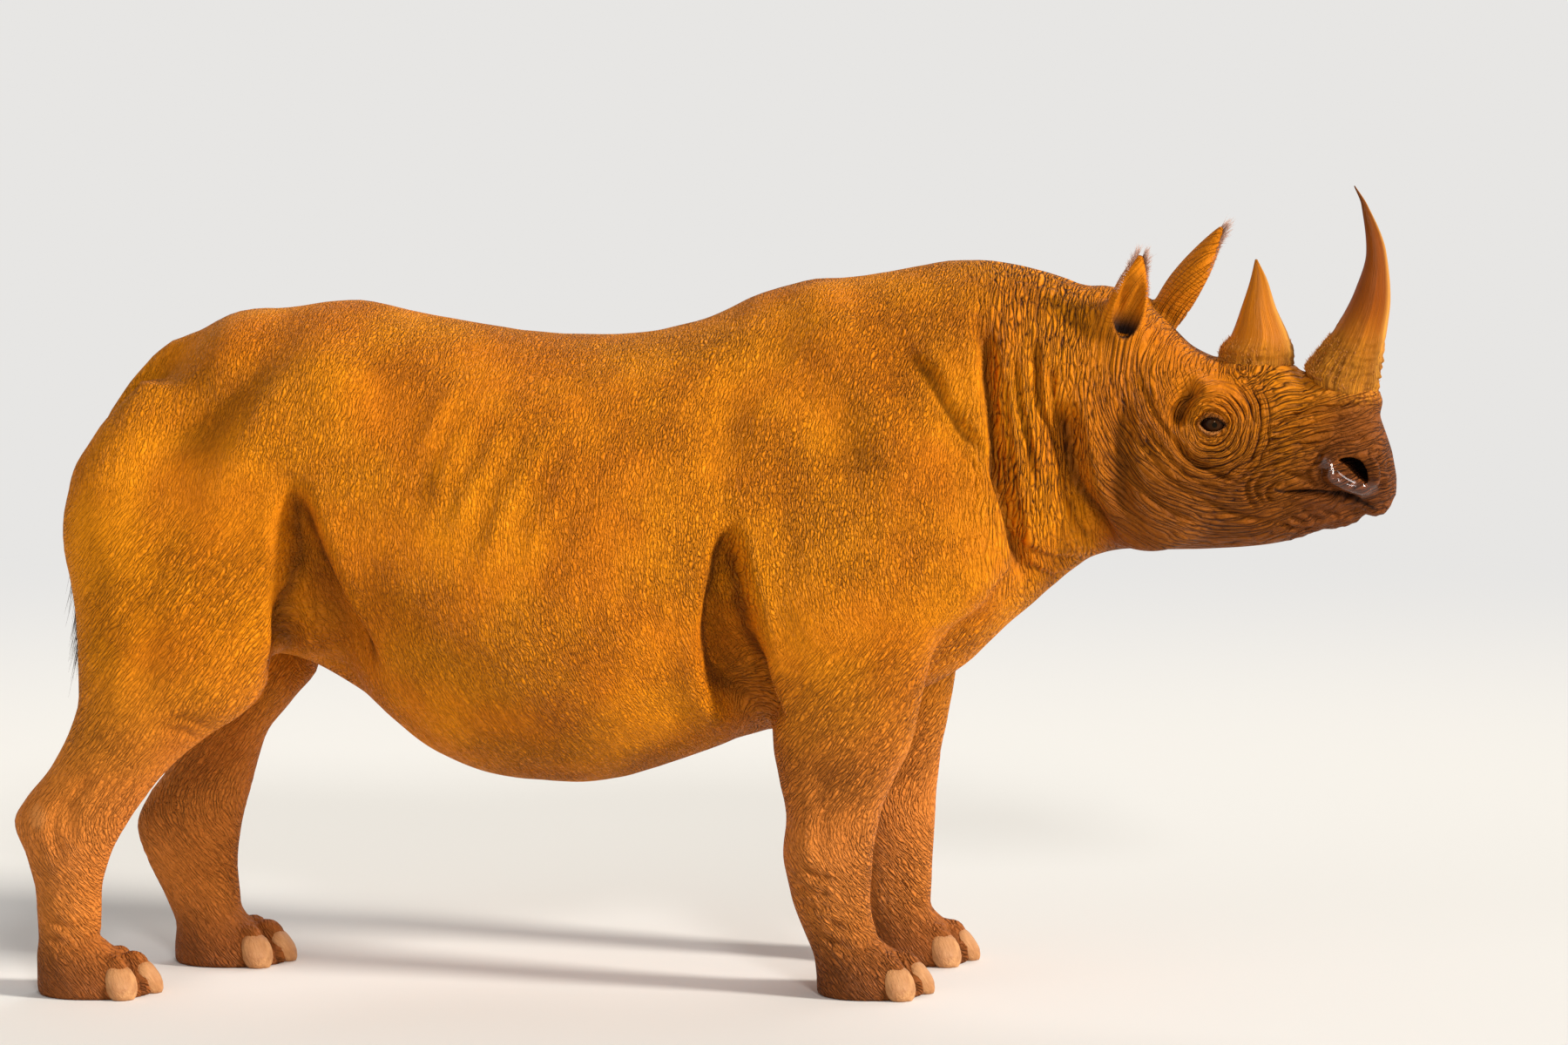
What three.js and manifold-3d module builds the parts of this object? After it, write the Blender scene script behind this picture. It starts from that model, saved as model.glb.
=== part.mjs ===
// A life-size standing black rhinoceros, as a still model for a museum floor.
// Millimetres. +X is forward, +Y is the animal's left, +Z is up, and the soles stand at z = 0.
//
// The flesh is one smooth closed shape: a barrel for the trunk and neck, a barrel for the skull,
// four limbs, and a few rounded masses, all blended together. It is contoured into facets and then
// parted with thin flat cuts into the head, jaw, neck, trunk, legs and feet. Horns, ears, eyes,
// nails and tail are solids of their own, each let into a socket that clears it by GAP.

import * as THREE from "three";
import { mergeVertices } from "three/addons/utils/BufferGeometryUtils.js";
import Module from "manifold-3d";

const wasm = await Module();
wasm.setup();

// ---------------------------------------------------------------- driving dimensions

const GAP = 0.4; // clearance between neighbouring pieces
const FACET = { trunk: 126, neck: 96, head: 54, leg: 58, foot: 56 };
const SQUARENESS = { trunk: 2.15, skull: 2.35, leg: 2.2 }; // of their cross-sections; 2 is an ellipse
const SOFT = { head: 90, leg: 70 }; // how softly the head and the legs blend into the trunk
const MIDDLE = 4.5; // the body's midlength lies this far ahead of the place where x is counted from

// The neck bends to the animal's right along an arc, and the head goes straight on from its end.
const NECK_FROM = 622;
const HEAD_FROM = 838;
const HEAD_TURN = THREE.MathUtils.degToRad(12);

// Stations of the trunk and neck, from the rump to the throat: position along the body, back line,
// belly line, greatest half width and the height where it lies.
const TRUNK = [
  { x: -1375, top: 1075, bottom: 990, half: 30, widest: 1030 },
  { x: -1350, top: 1156, bottom: 880, half: 130, widest: 1045 },
  { x: -1305, top: 1242, bottom: 810, half: 215, widest: 1065 },
  { x: -1235, top: 1334, bottom: 765, half: 285, widest: 1090 },
  { x: -1105, top: 1482, bottom: 742, half: 342, widest: 1120 },
  { x: -920, top: 1524, bottom: 730, half: 372, widest: 1120 },
  { x: -790, top: 1537, bottom: 664, half: 390, widest: 1070 },
  { x: -600, top: 1503, bottom: 516, half: 424, widest: 1000 },
  { x: -400, top: 1472, bottom: 458, half: 444, widest: 950 },
  { x: -200, top: 1461, bottom: 462, half: 440, widest: 930 },
  { x: 0, top: 1497, bottom: 523, half: 412, widest: 950 },
  { x: 150, top: 1560, bottom: 568, half: 374, widest: 980 },
  { x: 235, top: 1577, bottom: 590, half: 350, widest: 1000 },
  { x: 400, top: 1600, bottom: 630, half: 312, widest: 1040 },
  { x: 560, top: 1628, bottom: 700, half: 280, widest: 1090 },
  { x: 700, top: 1617, bottom: 822, half: 244, widest: 1160 },
  { x: 860, top: 1568, bottom: 956, half: 200, widest: 1230 },
  { x: 960, top: 1520, bottom: 1040, half: 150, widest: 1250 },
  { x: 1030, top: 1400, bottom: 1110, half: 60, widest: 1255 },
];

// Stations of the skull, from behind the ears to the lip.
const SKULL = [
  { x: 800, top: 1440, bottom: 1110, half: 50, widest: 1250 },
  { x: 850, top: 1535, bottom: 1010, half: 138, widest: 1235 },
  { x: 900, top: 1560, bottom: 985, half: 164, widest: 1225 },
  { x: 960, top: 1555, bottom: 985, half: 178, widest: 1222 },
  { x: 1020, top: 1510, bottom: 984, half: 184, widest: 1228 },
  { x: 1100, top: 1437, bottom: 986, half: 181, widest: 1232 },
  { x: 1170, top: 1410, bottom: 990, half: 168, widest: 1228 },
  { x: 1250, top: 1400, bottom: 997, half: 147, widest: 1212 },
  { x: 1340, top: 1384, bottom: 1016, half: 128, widest: 1200 },
  { x: 1410, top: 1364, bottom: 1050, half: 120, widest: 1190 },
  { x: 1470, top: 1342, bottom: 1085, half: 108, widest: 1180 },
  { x: 1515, top: 1288, bottom: 1092, half: 90, widest: 1170 },
  { x: 1542, top: 1222, bottom: 1098, half: 64, widest: 1150 },
  { x: 1555, top: 1165, bottom: 1115, half: 26, widest: 1138 },
];

// Rounded masses of the head, given for the left side: middle, radii, and how softly each blends in.
const HEAD_MASSES = [
  { name: "brow", at: [1135, 128, 1335], radii: [82, 48, 40], soft: 40 },
  { name: "cheek", at: [1020, 112, 1130], radii: [140, 84, 138], soft: 60 },
  { name: "nostril rim", at: [1478, 74, 1178], radii: [60, 38, 52], soft: 30 },
  { name: "ear root", at: [952, 108, 1490], radii: [52, 50, 62], soft: 36 },
  { name: "front horn boss", at: [1428, 0, 1322], radii: [96, 94, 58], soft: 50 },
  { name: "rear horn boss", at: [1240, 0, 1378], radii: [98, 84, 40], soft: 36 },
  { name: "upper lip", at: [1512, 0, 1102], radii: [32, 52, 34], soft: 26 },
  { name: "lower lip", at: [1404, 0, 1078], radii: [82, 66, 40], soft: 28 },
];
const EYE = { x: 1166, y: 147, z: 1281, radius: 26 };

// The mouth: the corner, the slope of its line, and where the upper lip hooks over the lower one.
const MOUTH = { corner: { x: 1301, z: 1123 }, slope: 0.148, lip: 1486 };

// Stations of the legs, from the sole up: height, back and front outline of the right leg and of
// the left leg, distance of the leg's middle from the midline, and half width.
const HIND = [
  { z: -40, right: [-1486, -1232], left: [-1222, -962], out: 205, half: 112 },
  { z: 30, right: [-1494, -1236], left: [-1226, -968], out: 205, half: 112 },
  { z: 80, right: [-1494, -1300], left: [-1224, -1040], out: 206, half: 92 },
  { z: 135, right: [-1490, -1350], left: [-1240, -1074], out: 208, half: 73 },
  { z: 220, right: [-1495, -1349], left: [-1280, -1080], out: 212, half: 70 },
  { z: 310, right: [-1514, -1327], left: [-1311, -1072], out: 218, half: 76 },
  { z: 390, right: [-1537, -1286], left: [-1278, -1053], out: 224, half: 83 },
  { z: 440, right: [-1513, -1251], left: [-1244, -1038], out: 228, half: 87 },
  { z: 520, right: [-1450, -1182], left: [-1228, -1015], out: 236, half: 98 },
  { z: 600, right: [-1408, -1090], left: [-1258, -955], out: 242, half: 116 },
  { z: 680, right: [-1388, -985], left: [-1290, -890], out: 244, half: 132 },
  { z: 780, right: [-1390, -945], left: [-1335, -862], out: 240, half: 143 },
  { z: 900, right: [-1402, -934], left: [-1385, -862], out: 232, half: 148 },
  { z: 1030, right: [-1424, -925], left: [-1416, -880], out: 215, half: 150 },
  { z: 1140, right: [-1412, -925], left: [-1408, -905], out: 195, half: 142 },
  { z: 1260, right: [-1352, -960], left: [-1350, -955], out: 165, half: 118 },
  { z: 1370, right: [-1255, -1020], left: [-1255, -1020], out: 145, half: 60 },
];
const FORE = [
  { z: -40, right: [252, 492], left: [366, 606], out: 215, half: 112 },
  { z: 30, right: [250, 492], left: [364, 606], out: 215, half: 114 },
  { z: 80, right: [246, 440], left: [360, 562], out: 216, half: 98 },
  { z: 135, right: [226, 386], left: [346, 516], out: 218, half: 80 },
  { z: 220, right: [196, 371], left: [338, 518], out: 220, half: 80 },
  { z: 320, right: [176, 376], left: [326, 525], out: 222, half: 88 },
  { z: 396, right: [182, 388], left: [322, 528], out: 226, half: 92 },
  { z: 480, right: [166, 420], left: [292, 538], out: 234, half: 100 },
  { z: 560, right: [146, 458], left: [250, 555], out: 244, half: 112 },
  { z: 670, right: [128, 483], left: [180, 572], out: 255, half: 124 },
  { z: 780, right: [96, 510], left: [116, 585], out: 262, half: 132 },
  { z: 880, right: [66, 605], left: [76, 630], out: 262, half: 136 },
  { z: 1020, right: [40, 686], left: [44, 688], out: 250, half: 130 },
  { z: 1150, right: [50, 655], left: [50, 655], out: 228, half: 122 },
  { z: 1290, right: [100, 590], left: [100, 590], out: 190, half: 105 },
  { z: 1420, right: [180, 480], left: [180, 480], out: 140, half: 60 },
];
const ANKLE = 118; // height of the cut between leg and foot
const INNER_CUT = 46; // the cuts between leg and trunk stop this far from the midline
const LEGS = [
  { name: "fore_right", side: -1, outline: FORE, reach: [122, 618], top: 690 },
  { name: "fore_left", side: 1, outline: FORE, reach: [122, 618], top: 690 },
  { name: "hind_right", side: -1, outline: HIND, reach: [-1700, -925], top: 775 },
  { name: "hind_left", side: 1, outline: HIND, reach: [-1700, -852], top: 775 },
].map(({ outline, ...leg }) => ({
  ...leg,
  stations: outline.map(({ z, out, half, ...sides }) => {
    const [back, front] = leg.side < 0 ? sides.right : sides.left;
    return { z, back, front, out, half };
  }),
}));

// Rings of the horns, from the root up: mean height, back, front, half width, and how far the ring
// dips forward.
const HORN_FRONT = [
  { z: 1338, back: 1358, front: 1506, half: 80, dip: 0.45 },
  { z: 1363, back: 1352, front: 1513, half: 84, dip: 0.42 },
  { z: 1410, back: 1378, front: 1520, half: 69, dip: 0.35 },
  { z: 1470, back: 1416, front: 1529, half: 54, dip: 0.27 },
  { z: 1564, back: 1461, front: 1540, half: 37, dip: 0.2 },
  { z: 1657, back: 1485, front: 1530, half: 20, dip: 0.1 },
  { z: 1761, back: 1473, front: 1487, half: 7, dip: 0 },
  { z: 1803, back: 1456, front: 1459, half: 2, dip: 0 },
];
const HORN_REAR = [
  { z: 1362, back: 1166, front: 1316, half: 64, dip: 0 },
  { z: 1428, back: 1158, front: 1326, half: 62, dip: 0 },
  { z: 1466, back: 1184, front: 1314, half: 48, dip: 0 },
  { z: 1532, back: 1208, front: 1284, half: 29, dip: 0 },
  { z: 1593, back: 1227, front: 1264, half: 14, dip: 0 },
  { z: 1637, back: 1237, front: 1242, half: 3, dip: 0 },
];

// The ears are rolled leaves. Lean tips one forward, splay tips it outward, and turn is how far
// its opening looks round from straight ahead to the animal's side.
const EAR = { depth: 36, wall: 9 };
const EAR_RIGHT = {
  side: -1, root: [945, 112, 1448], length: 215, width: 38, lean: 0.27, splay: 0.2, turn: 1.25,
};
const EAR_LEFT = {
  side: 1, root: [1002, 110, 1470], length: 270, width: 54, lean: 0.54, splay: 0.2, turn: 0.6,
};

const NAIL = { depth: 15, half: 37, height: 44, lean: 0.6 };
const NAIL_TURNS = [-0.98, 0, 0.98];

// The tail hangs close behind the rump, at these places and heights, and ends in a brush.
const TAIL = { root: 38, tip: 13, flatness: 0.85 };
const TUFT = { length: 150, slim: 10, swell: 22, flatness: 0.6 };
const TAIL_ROUTE = [
  [-1060, 1430], [-1178, 1421], [-1266, 1342], [-1336, 1250], [-1382, 1160], [-1404, 1050],
  [-1398, 920], [-1390, 800],
];

const point = (x, y, z) => new THREE.Vector3(x, y, z);

// ---------------------------------------------------------------- smooth field

// A smooth function of one coordinate through the stations, with no overshoot between them.
function profile(stations, along, key) {
  const at = stations.map((s) => s[along]);
  const value = stations.map((s) => s[key]);
  const rise = at.slice(1).map((a, i) => (value[i + 1] - value[i]) / (a - at[i]));
  const slope = value.map((_, i) => {
    if (i === 0) return rise[0];
    if (i === value.length - 1) return rise[i - 1];
    const [before, after] = [rise[i - 1], rise[i]];
    return before * after <= 0 ? 0 : (2 * before * after) / (before + after);
  });
  return (t) => {
    let i = 0;
    while (i < at.length - 2 && t > at[i + 1]) i++;
    const width = at[i + 1] - at[i];
    const u = Math.min(1, Math.max(0, (t - at[i]) / width));
    const v = 1 - u;
    return (
      value[i] * v * v * (1 + 2 * u) +
      value[i + 1] * u * u * (1 + 2 * v) +
      width * u * v * (slope[i] * v - slope[i + 1] * u)
    );
  };
}

// Signed size of a point's distance from an oval whose radii are a and b. Power 2 is an ellipse.
function oval(p, q, a, b, power) {
  const [u, v] = [Math.abs(p) / a, Math.abs(q) / b];
  const r = Math.pow(u ** power + v ** power, 1 / power);
  if (r < 1e-6) return -Math.min(a, b);
  const [du, dv] = [(u / r) ** (power - 1) / a, (v / r) ** (power - 1) / b];
  return (r - 1) / Math.hypot(du, dv);
}

// A barrel along X with the stations' outlines. Beyond its ends the distance grows.
function barrel(stations, power) {
  const [top, bottom, half, widest] = ["top", "bottom", "half", "widest"].map((key) =>
    profile(stations, "x", key),
  );
  const [first, last] = [stations[0].x, stations.at(-1).x];
  return (x, y, z) => {
    const past = Math.max(first - x, x - last, 0);
    const level = widest(x);
    const reach = z > level ? top(x) - level : level - bottom(x);
    const d = oval(y, z - level, half(x), reach, power);
    return past > 0 ? Math.hypot(Math.max(0, d), past) : d;
  };
}

// A leg along Z with the stations' outlines, on one side of the midline.
function limb(stations, side, power) {
  const [back, front, out, half] = ["back", "front", "out", "half"].map((key) =>
    profile(stations, "z", key),
  );
  const top = stations.at(-1).z;
  return (x, y, z) => {
    const [b, f] = [back(z), front(z)];
    const d = oval(x - (b + f) / 2, y - side * out(z), (f - b) / 2, half(z), power);
    const past = Math.max(0, z - top);
    return past > 0 ? Math.hypot(Math.max(0, d), past) : d;
  };
}

// A rounded mass, and its mirror image where it isn't on the midline.
function mass({ at, radii }) {
  return (x, y, z) => {
    const p = [x - at[0], Math.abs(y) - at[1], z - at[2]].map((d, i) => d / radii[i]);
    const r = Math.hypot(...p);
    const g = Math.hypot(...p.map((d, i) => d / radii[i]));
    return r < 1e-6 ? -Math.min(...radii) : ((r - 1) * r) / g;
  };
}

function blend(a, b, soft) {
  const h = Math.max(soft - Math.abs(a - b), 0) / soft;
  return Math.min(a, b) - (h * h * h * soft) / 6;
}

const trunkField = barrel(TRUNK, SQUARENESS.trunk);
const skullField = barrel(SKULL, SQUARENESS.skull);
const masses = HEAD_MASSES.map((m) => ({ field: mass(m), soft: m.soft }));
const limbs = LEGS.map((leg) => limb(leg.stations, leg.side, SQUARENESS.leg));

function flesh(x, y, z) {
  let head = skullField(x, y, z);
  for (const m of masses) head = blend(head, m.field(x, y, z), m.soft);
  let body = blend(trunkField(x, y, z), head, SOFT.head);
  for (const leg of limbs) body = blend(body, leg(x, y, z), SOFT.leg);
  return body;
}

// ---------------------------------------------------------------- facets

// The corners of a unit cube and its edges as pairs of corner numbers.
const CORNERS = [0, 1, 2, 3, 4, 5, 6, 7].map((c) => [c & 1, (c >> 1) & 1, c >> 2]);
const EDGES = CORNERS.flatMap((_, m) => [1, 2, 4].filter((bit) => !(m & bit)).map((bit) => [m, m | bit]));

// Numbers the groups of joined inside corners of one cell; outside corners get -1.
function groupsOf(values) {
  const group = values.map((v, corner) => (v < 0 ? corner : -1));
  for (let round = 0; round < 4; round++)
    for (const [m, n] of EDGES)
      if (group[m] >= 0 && group[n] >= 0) group[m] = group[n] = Math.min(group[m], group[n]);
  return group;
}

// A closed surface where the field is 0 inside the box. Each crossed cell gets one vertex for each
// separate group of its inside corners, and each crossed grid edge joins four of them in a facet.
function contour(field, box, cell) {
  const size = box.getSize(new THREE.Vector3());
  const counts = size.toArray().map((d) => Math.ceil(d / cell) + 1);
  const [nx, ny, nz] = counts;
  const spare = point(...counts).subScalar(1).multiplyScalar(cell).sub(size);
  const origin = box.min.clone().addScaledVector(spare, -0.5);
  const index = (i, j, k) => (k * ny + j) * nx + i;
  const samples = new Float64Array(nx * ny * nz).fill(cell);
  for (let k = 1; k < nz - 1; k++)
    for (let j = 1; j < ny - 1; j++)
      for (let i = 1; i < nx - 1; i++)
        samples[index(i, j, k)] =
          field(origin.x + i * cell, origin.y + j * cell, origin.z + k * cell);

  const vertexOf = new Map();
  const places = [];
  for (let k = 0; k < nz - 1; k++)
    for (let j = 0; j < ny - 1; j++)
      for (let i = 0; i < nx - 1; i++) {
        const keys = CORNERS.map(([a, b, c]) => index(i + a, j + b, k + c));
        const values = keys.map((key) => samples[key]);
        const group = groupsOf(values);
        for (const number of new Set(group.filter((g) => g >= 0))) {
          const sum = new THREE.Vector3();
          let crossed = 0;
          for (const [m, n] of EDGES) {
            if (values[m] < 0 === values[n] < 0) continue;
            if (Math.max(group[m], group[n]) !== number) continue;
            const t = values[m] / (values[m] - values[n]);
            sum.add(new THREE.Vector3(...CORNERS[m]).lerp(new THREE.Vector3(...CORNERS[n]), t));
            crossed++;
          }
          if (!crossed) continue;
          sum.divideScalar(crossed).add(new THREE.Vector3(i, j, k));
          sum.multiplyScalar(cell).add(origin);
          group.forEach((g, corner) => {
            if (g === number) vertexOf.set(keys[0] * 8 + corner, places.length);
          });
          places.push(settle(field, sum, cell));
        }
      }

  // The facet across the grid edge that leaves (i, j, k) along an axis, seen by its four cells.
  const faces = [];
  const facet = (i, j, k, axis) => {
    const end = [i, j, k];
    end[axis]++;
    const inside = samples[index(i, j, k)] < 0;
    if (inside === samples[index(...end)] < 0) return;
    const corner = inside ? [i, j, k] : end;
    const [u, v] = [(axis + 1) % 3, (axis + 2) % 3];
    const ring = [[-1, -1], [0, -1], [0, 0], [-1, 0]].map(([du, dv]) => {
      const cellAt = [i, j, k];
      cellAt[u] += du;
      cellAt[v] += dv;
      const local = corner.map((c, n) => c - cellAt[n]);
      return vertexOf.get(index(...cellAt) * 8 + local[0] + 2 * local[1] + 4 * local[2]);
    });
    if (!inside) ring.reverse();
    const [a, b, c, d] = ring;
    const short = places[a].distanceToSquared(places[c]) < places[b].distanceToSquared(places[d]);
    if (short) faces.push(a, b, c, a, c, d);
    else faces.push(a, b, d, b, c, d);
  };
  for (let k = 1; k < nz - 1; k++)
    for (let j = 1; j < ny - 1; j++)
      for (let i = 1; i < nx - 1; i++) [0, 1, 2].forEach((axis) => facet(i, j, k, axis));
  for (let k = 0; k < nz - 1; k++)
    for (let j = 0; j < ny - 1; j++)
      for (let i = 0; i < nx - 1; i++) {
        if (i === 0 && j > 0 && k > 0) facet(i, j, k, 0);
        if (j === 0 && i > 0 && k > 0) facet(i, j, k, 1);
        if (k === 0 && i > 0 && j > 0) facet(i, j, k, 2);
      }
  return solid(places.flatMap((p) => p.toArray()), faces);
}

// Moves a vertex along the field's slope onto its 0 level, by at most half a cell.
function settle(field, start, cell) {
  const p = start.clone();
  const step = 0.5;
  for (let round = 0; round < 3; round++) {
    const here = field(p.x, p.y, p.z);
    const slope = new THREE.Vector3(
      field(p.x + step, p.y, p.z) - here,
      field(p.x, p.y + step, p.z) - here,
      field(p.x, p.y, p.z + step) - here,
    ).divideScalar(step);
    const steep = slope.lengthSq();
    if (steep < 1e-4) break;
    p.addScaledVector(slope, -here / steep);
  }
  return p.sub(start).clampLength(0, cell / 2).add(start);
}

// ---------------------------------------------------------------- solids

function solid(positions, faces) {
  return new wasm.Manifold(new wasm.Mesh({
    numProp: 3,
    vertProperties: new Float32Array(positions),
    triVerts: new Uint32Array(faces),
  }));
}

function solidOf(geometry) {
  geometry.deleteAttribute("normal");
  geometry.deleteAttribute("uv");
  const merged = mergeVertices(geometry, 1e-3);
  return solid(merged.attributes.position.array, merged.index.array);
}

// A block between two corners, for cutting.
function block(low, high) {
  const box = new THREE.Box3(new THREE.Vector3(...low), new THREE.Vector3(...high));
  const size = box.getSize(new THREE.Vector3());
  const middle = box.getCenter(new THREE.Vector3());
  return solidOf(new THREE.BoxGeometry(...size).translate(...middle));
}

// The block keeps a shape's part between two positions along the body.
function slab(from, to) {
  return block([from, -2000, -2000], [to, 2000, 4000]);
}

function biggest(shape) {
  return shape.decompose().sort((a, b) => b.volume() - a.volume())[0];
}

// A closed solid through rings of points, all with the same number of points.
function skinned(rings) {
  const sides = rings[0].length;
  const positions = rings.flat().flatMap((p) => p.toArray());
  const faces = [];
  for (let i = 0; i < rings.length - 1; i++)
    for (let j = 0; j < sides; j++) {
      const [a, b] = [i * sides + j, i * sides + ((j + 1) % sides)];
      faces.push(a, b, a + sides, b, b + sides, a + sides);
    }
  const last = (rings.length - 1) * sides;
  for (let j = 1; j < sides - 1; j++) faces.push(0, j + 1, j, last, last + j, last + j + 1);
  const shape = solid(positions, faces);
  return shape.volume() < 0 ? solid(positions, faces.reverse()) : shape;
}

const turnsOf = (sides) => Array.from({ length: sides }, (_, j) => (j / sides) * 2 * Math.PI);
const sharesOf = (count) => Array.from({ length: count + 1 }, (_, i) => i / count);

// A solid of oval rings through the stations, all on the midline.
function stack(stations, rings, sides, grow) {
  const [back, front, half, dip] = ["back", "front", "half", "dip"].map((key) =>
    profile(stations, "z", key),
  );
  const [low, high] = [stations[0].z, stations.at(-1).z];
  return skinned(sharesOf(rings).map((share) => {
    const z = low + (high - low) * share;
    const [middle, reach] = [(front(z) + back(z)) / 2, (front(z) - back(z)) / 2 + grow];
    const rise = grow * (2 * share - 1);
    return turnsOf(sides).map((turn) => point(
      middle + reach * Math.cos(turn),
      (half(z) + grow) * Math.sin(turn),
      z + rise - dip(z) * reach * Math.cos(turn),
    ));
  }));
}

// A solid of oval rings across a curve. radiiAt gives the half widths, sideways and fore-and-aft,
// at a share of the length.
function rod(curve, radiiAt, rings, sides) {
  return skinned(sharesOf(rings).map((share) => {
    const middle = curve.getPointAt(share);
    const along = curve.getTangentAt(share);
    const across = point(0, 1, 0).addScaledVector(along, -along.y).normalize();
    const ahead = new THREE.Vector3().crossVectors(across, along);
    const [wide, deep] = radiiAt(share);
    return turnsOf(sides).map((turn) =>
      middle.clone()
        .addScaledVector(across, wide * Math.cos(turn))
        .addScaledVector(ahead, deep * Math.sin(turn)),
    );
  }));
}

// ---------------------------------------------------------------- horns, ears, eyes, nails, tail
// grow widens a piece a little, to cut the socket that it stands in.

const hornFront = (grow) => stack(HORN_FRONT, 11, 14, grow);
const hornRear = (grow) => stack(HORN_REAR, 7, 12, grow);

function eye(side, grow) {
  const ball = new THREE.SphereGeometry(EYE.radius + grow, 10, 8);
  return solidOf(ball.translate(EYE.x, side * EYE.y, EYE.z));
}

// A leaf-shaped shell, with the hollow taken out of it towards its opening.
function ear({ side, root, length, width, lean, splay, turn }, grow) {
  const swell = (s) => Math.sin(Math.PI * (0.16 + 0.84 * s) ** 0.95) ** 0.8;
  const shell = (shrink, shift, from, to) => {
    const line = new THREE.LineCurve3(point(shift, 0, from), point(shift * 1.5, 0, to));
    return rod(line, (s) => [
      Math.max(3, 6 + width * swell(s) - shrink),
      Math.max(3, 6 + EAR.depth * swell(s) * (1 - 0.35 * s) - shrink),
    ], 8, 10);
  };
  let shape = shell(-2 * grow, 0, -grow, length + grow);
  if (grow === 0) shape = shape.subtract(shell(EAR.wall, 22, 45, length * 1.03));
  const place = new THREE.Matrix4()
    .makeTranslation(root[0], side * root[1], root[2])
    .multiply(new THREE.Matrix4().makeRotationX(-side * splay))
    .multiply(new THREE.Matrix4().makeRotationY(lean))
    .multiply(new THREE.Matrix4().makeRotationZ(side * turn));
  return shape.transform(place.elements);
}

// A broad nail on the foot's rounded front, leaning back with it.
function nail(leg, turn, grow) {
  const foot = leg.stations[1];
  const reach = [(foot.front - foot.back) / 2 - 12, foot.half - 8];
  const plate = new THREE.SphereGeometry(1, 6, 5)
    .scale(NAIL.depth + grow, NAIL.half + grow, NAIL.height + grow)
    .rotateY(-NAIL.lean)
    .rotateZ(turn)
    .translate(
      (foot.front + foot.back) / 2 + reach[0] * Math.cos(turn),
      leg.side * foot.out + reach[1] * Math.sin(turn),
      NAIL.height * 0.72,
    );
  return solidOf(plate).intersect(block([-4000, -4000, 0], [4000, 4000, 500]));
}

const tailCurve = new THREE.CatmullRomCurve3(TAIL_ROUTE.map(([x, z]) => point(x, 0, z)));

function tail(grow) {
  return rod(tailCurve, (s) => {
    const r = THREE.MathUtils.lerp(TAIL.root, TAIL.tip, Math.min(1, s * 1.2)) + grow;
    return [r, r * TAIL.flatness];
  }, 13, 8);
}

function tuft() {
  const [start, along] = [tailCurve.getPointAt(1), tailCurve.getTangentAt(1)];
  const curve = new THREE.LineCurve3(
    start.clone().addScaledVector(along, GAP),
    start.clone().addScaledVector(along, TUFT.length),
  );
  return rod(curve, (s) => {
    const r = TUFT.slim + TUFT.swell * Math.sin(Math.PI * (0.1 + 0.82 * s));
    return [r, r * TUFT.flatness];
  }, 6, 8);
}

// ---------------------------------------------------------------- parting the flesh

const span = (low, high) => new THREE.Box3(point(...low), point(...high));
const pieces = {};

pieces.horn_front = hornFront(0);
pieces.horn_rear = hornRear(0);
pieces.eye_right = eye(-1, 0);
pieces.eye_left = eye(1, 0);
pieces.ear_right = ear(EAR_RIGHT, 0);
pieces.ear_left = ear(EAR_LEFT, 0);

// The lower jaw is everything under the line of the mouth, behind the hook of the upper lip.
function jawRegion(grow) {
  const { corner, slope, lip } = MOUTH;
  const low = block([-900, -400, -600], [400, 400, grow])
    .rotate([0, THREE.MathUtils.radToDeg(Math.atan(slope)), 0])
    .translate([corner.x, 0, corner.z]);
  return low.intersect(slab(0, lip + grow));
}

const headFlesh = contour(flesh, span([640, -300, 900], [1640, 300, 1660]), FACET.head)
  .intersect(slab(HEAD_FROM, 2000));
const sockets = [
  hornFront(GAP), hornRear(GAP), eye(-1, GAP), eye(1, GAP), ear(EAR_RIGHT, GAP), ear(EAR_LEFT, GAP),
];
pieces.head = biggest(sockets.reduce((rest, cut) => rest.subtract(cut), headFlesh)
  .subtract(jawRegion(GAP)));
pieces.lower_jaw = biggest(headFlesh.intersect(jawRegion(0)));
pieces.neck = biggest(contour(flesh, span([480, -460, 560], [1000, 460, 1760]), FACET.neck)
  .intersect(slab(NECK_FROM, HEAD_FROM - GAP)));

let trunk = contour(flesh, span([-1560, -600, 300], [800, 600, 1700]), FACET.trunk)
  .intersect(slab(-2000, NECK_FROM - GAP));
for (const leg of LEGS) {
  // A block from the inner cut outwards, around the whole leg up to its top.
  const region = (slack, low, high) => {
    const [near, far] = [INNER_CUT - slack, 800];
    const [from, to] = leg.side < 0 ? [-far, -near] : [near, far];
    return block([leg.reach[0] - slack, from, low], [leg.reach[1] + slack, to, high + slack]);
  };
  const across = leg.side < 0 ? [-560, 20] : [-20, 560];
  const [back, front] = [leg.stations[1].back, leg.stations[1].front];
  const upper = contour(flesh, span(
    [leg.reach[0] - 90, across[0], -80],
    [leg.reach[1] + 90, across[1], leg.top + 130],
  ), FACET.leg);
  const lower = contour(flesh, span(
    [back - 60, across[0], -80],
    [front + 60, across[1], ANKLE + 90],
  ), FACET.foot);
  trunk = trunk.subtract(region(GAP, -100, leg.top));
  pieces["leg_" + leg.name] = biggest(upper.intersect(region(0, ANKLE + GAP, leg.top)));
  let foot = lower.intersect(region(0, 0, ANKLE));
  NAIL_TURNS.forEach((turn, i) => {
    foot = foot.subtract(nail(leg, turn, GAP));
    pieces["nail_" + leg.name + "_" + (i + 1)] = biggest(nail(leg, turn, 0));
  });
  pieces["foot_" + leg.name] = biggest(foot);
}
pieces.trunk = biggest(trunk.subtract(tail(GAP)));
pieces.tail = tail(0);
pieces.tail_tuft = tuft();

// ---------------------------------------------------------------- finish and assembly

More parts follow.
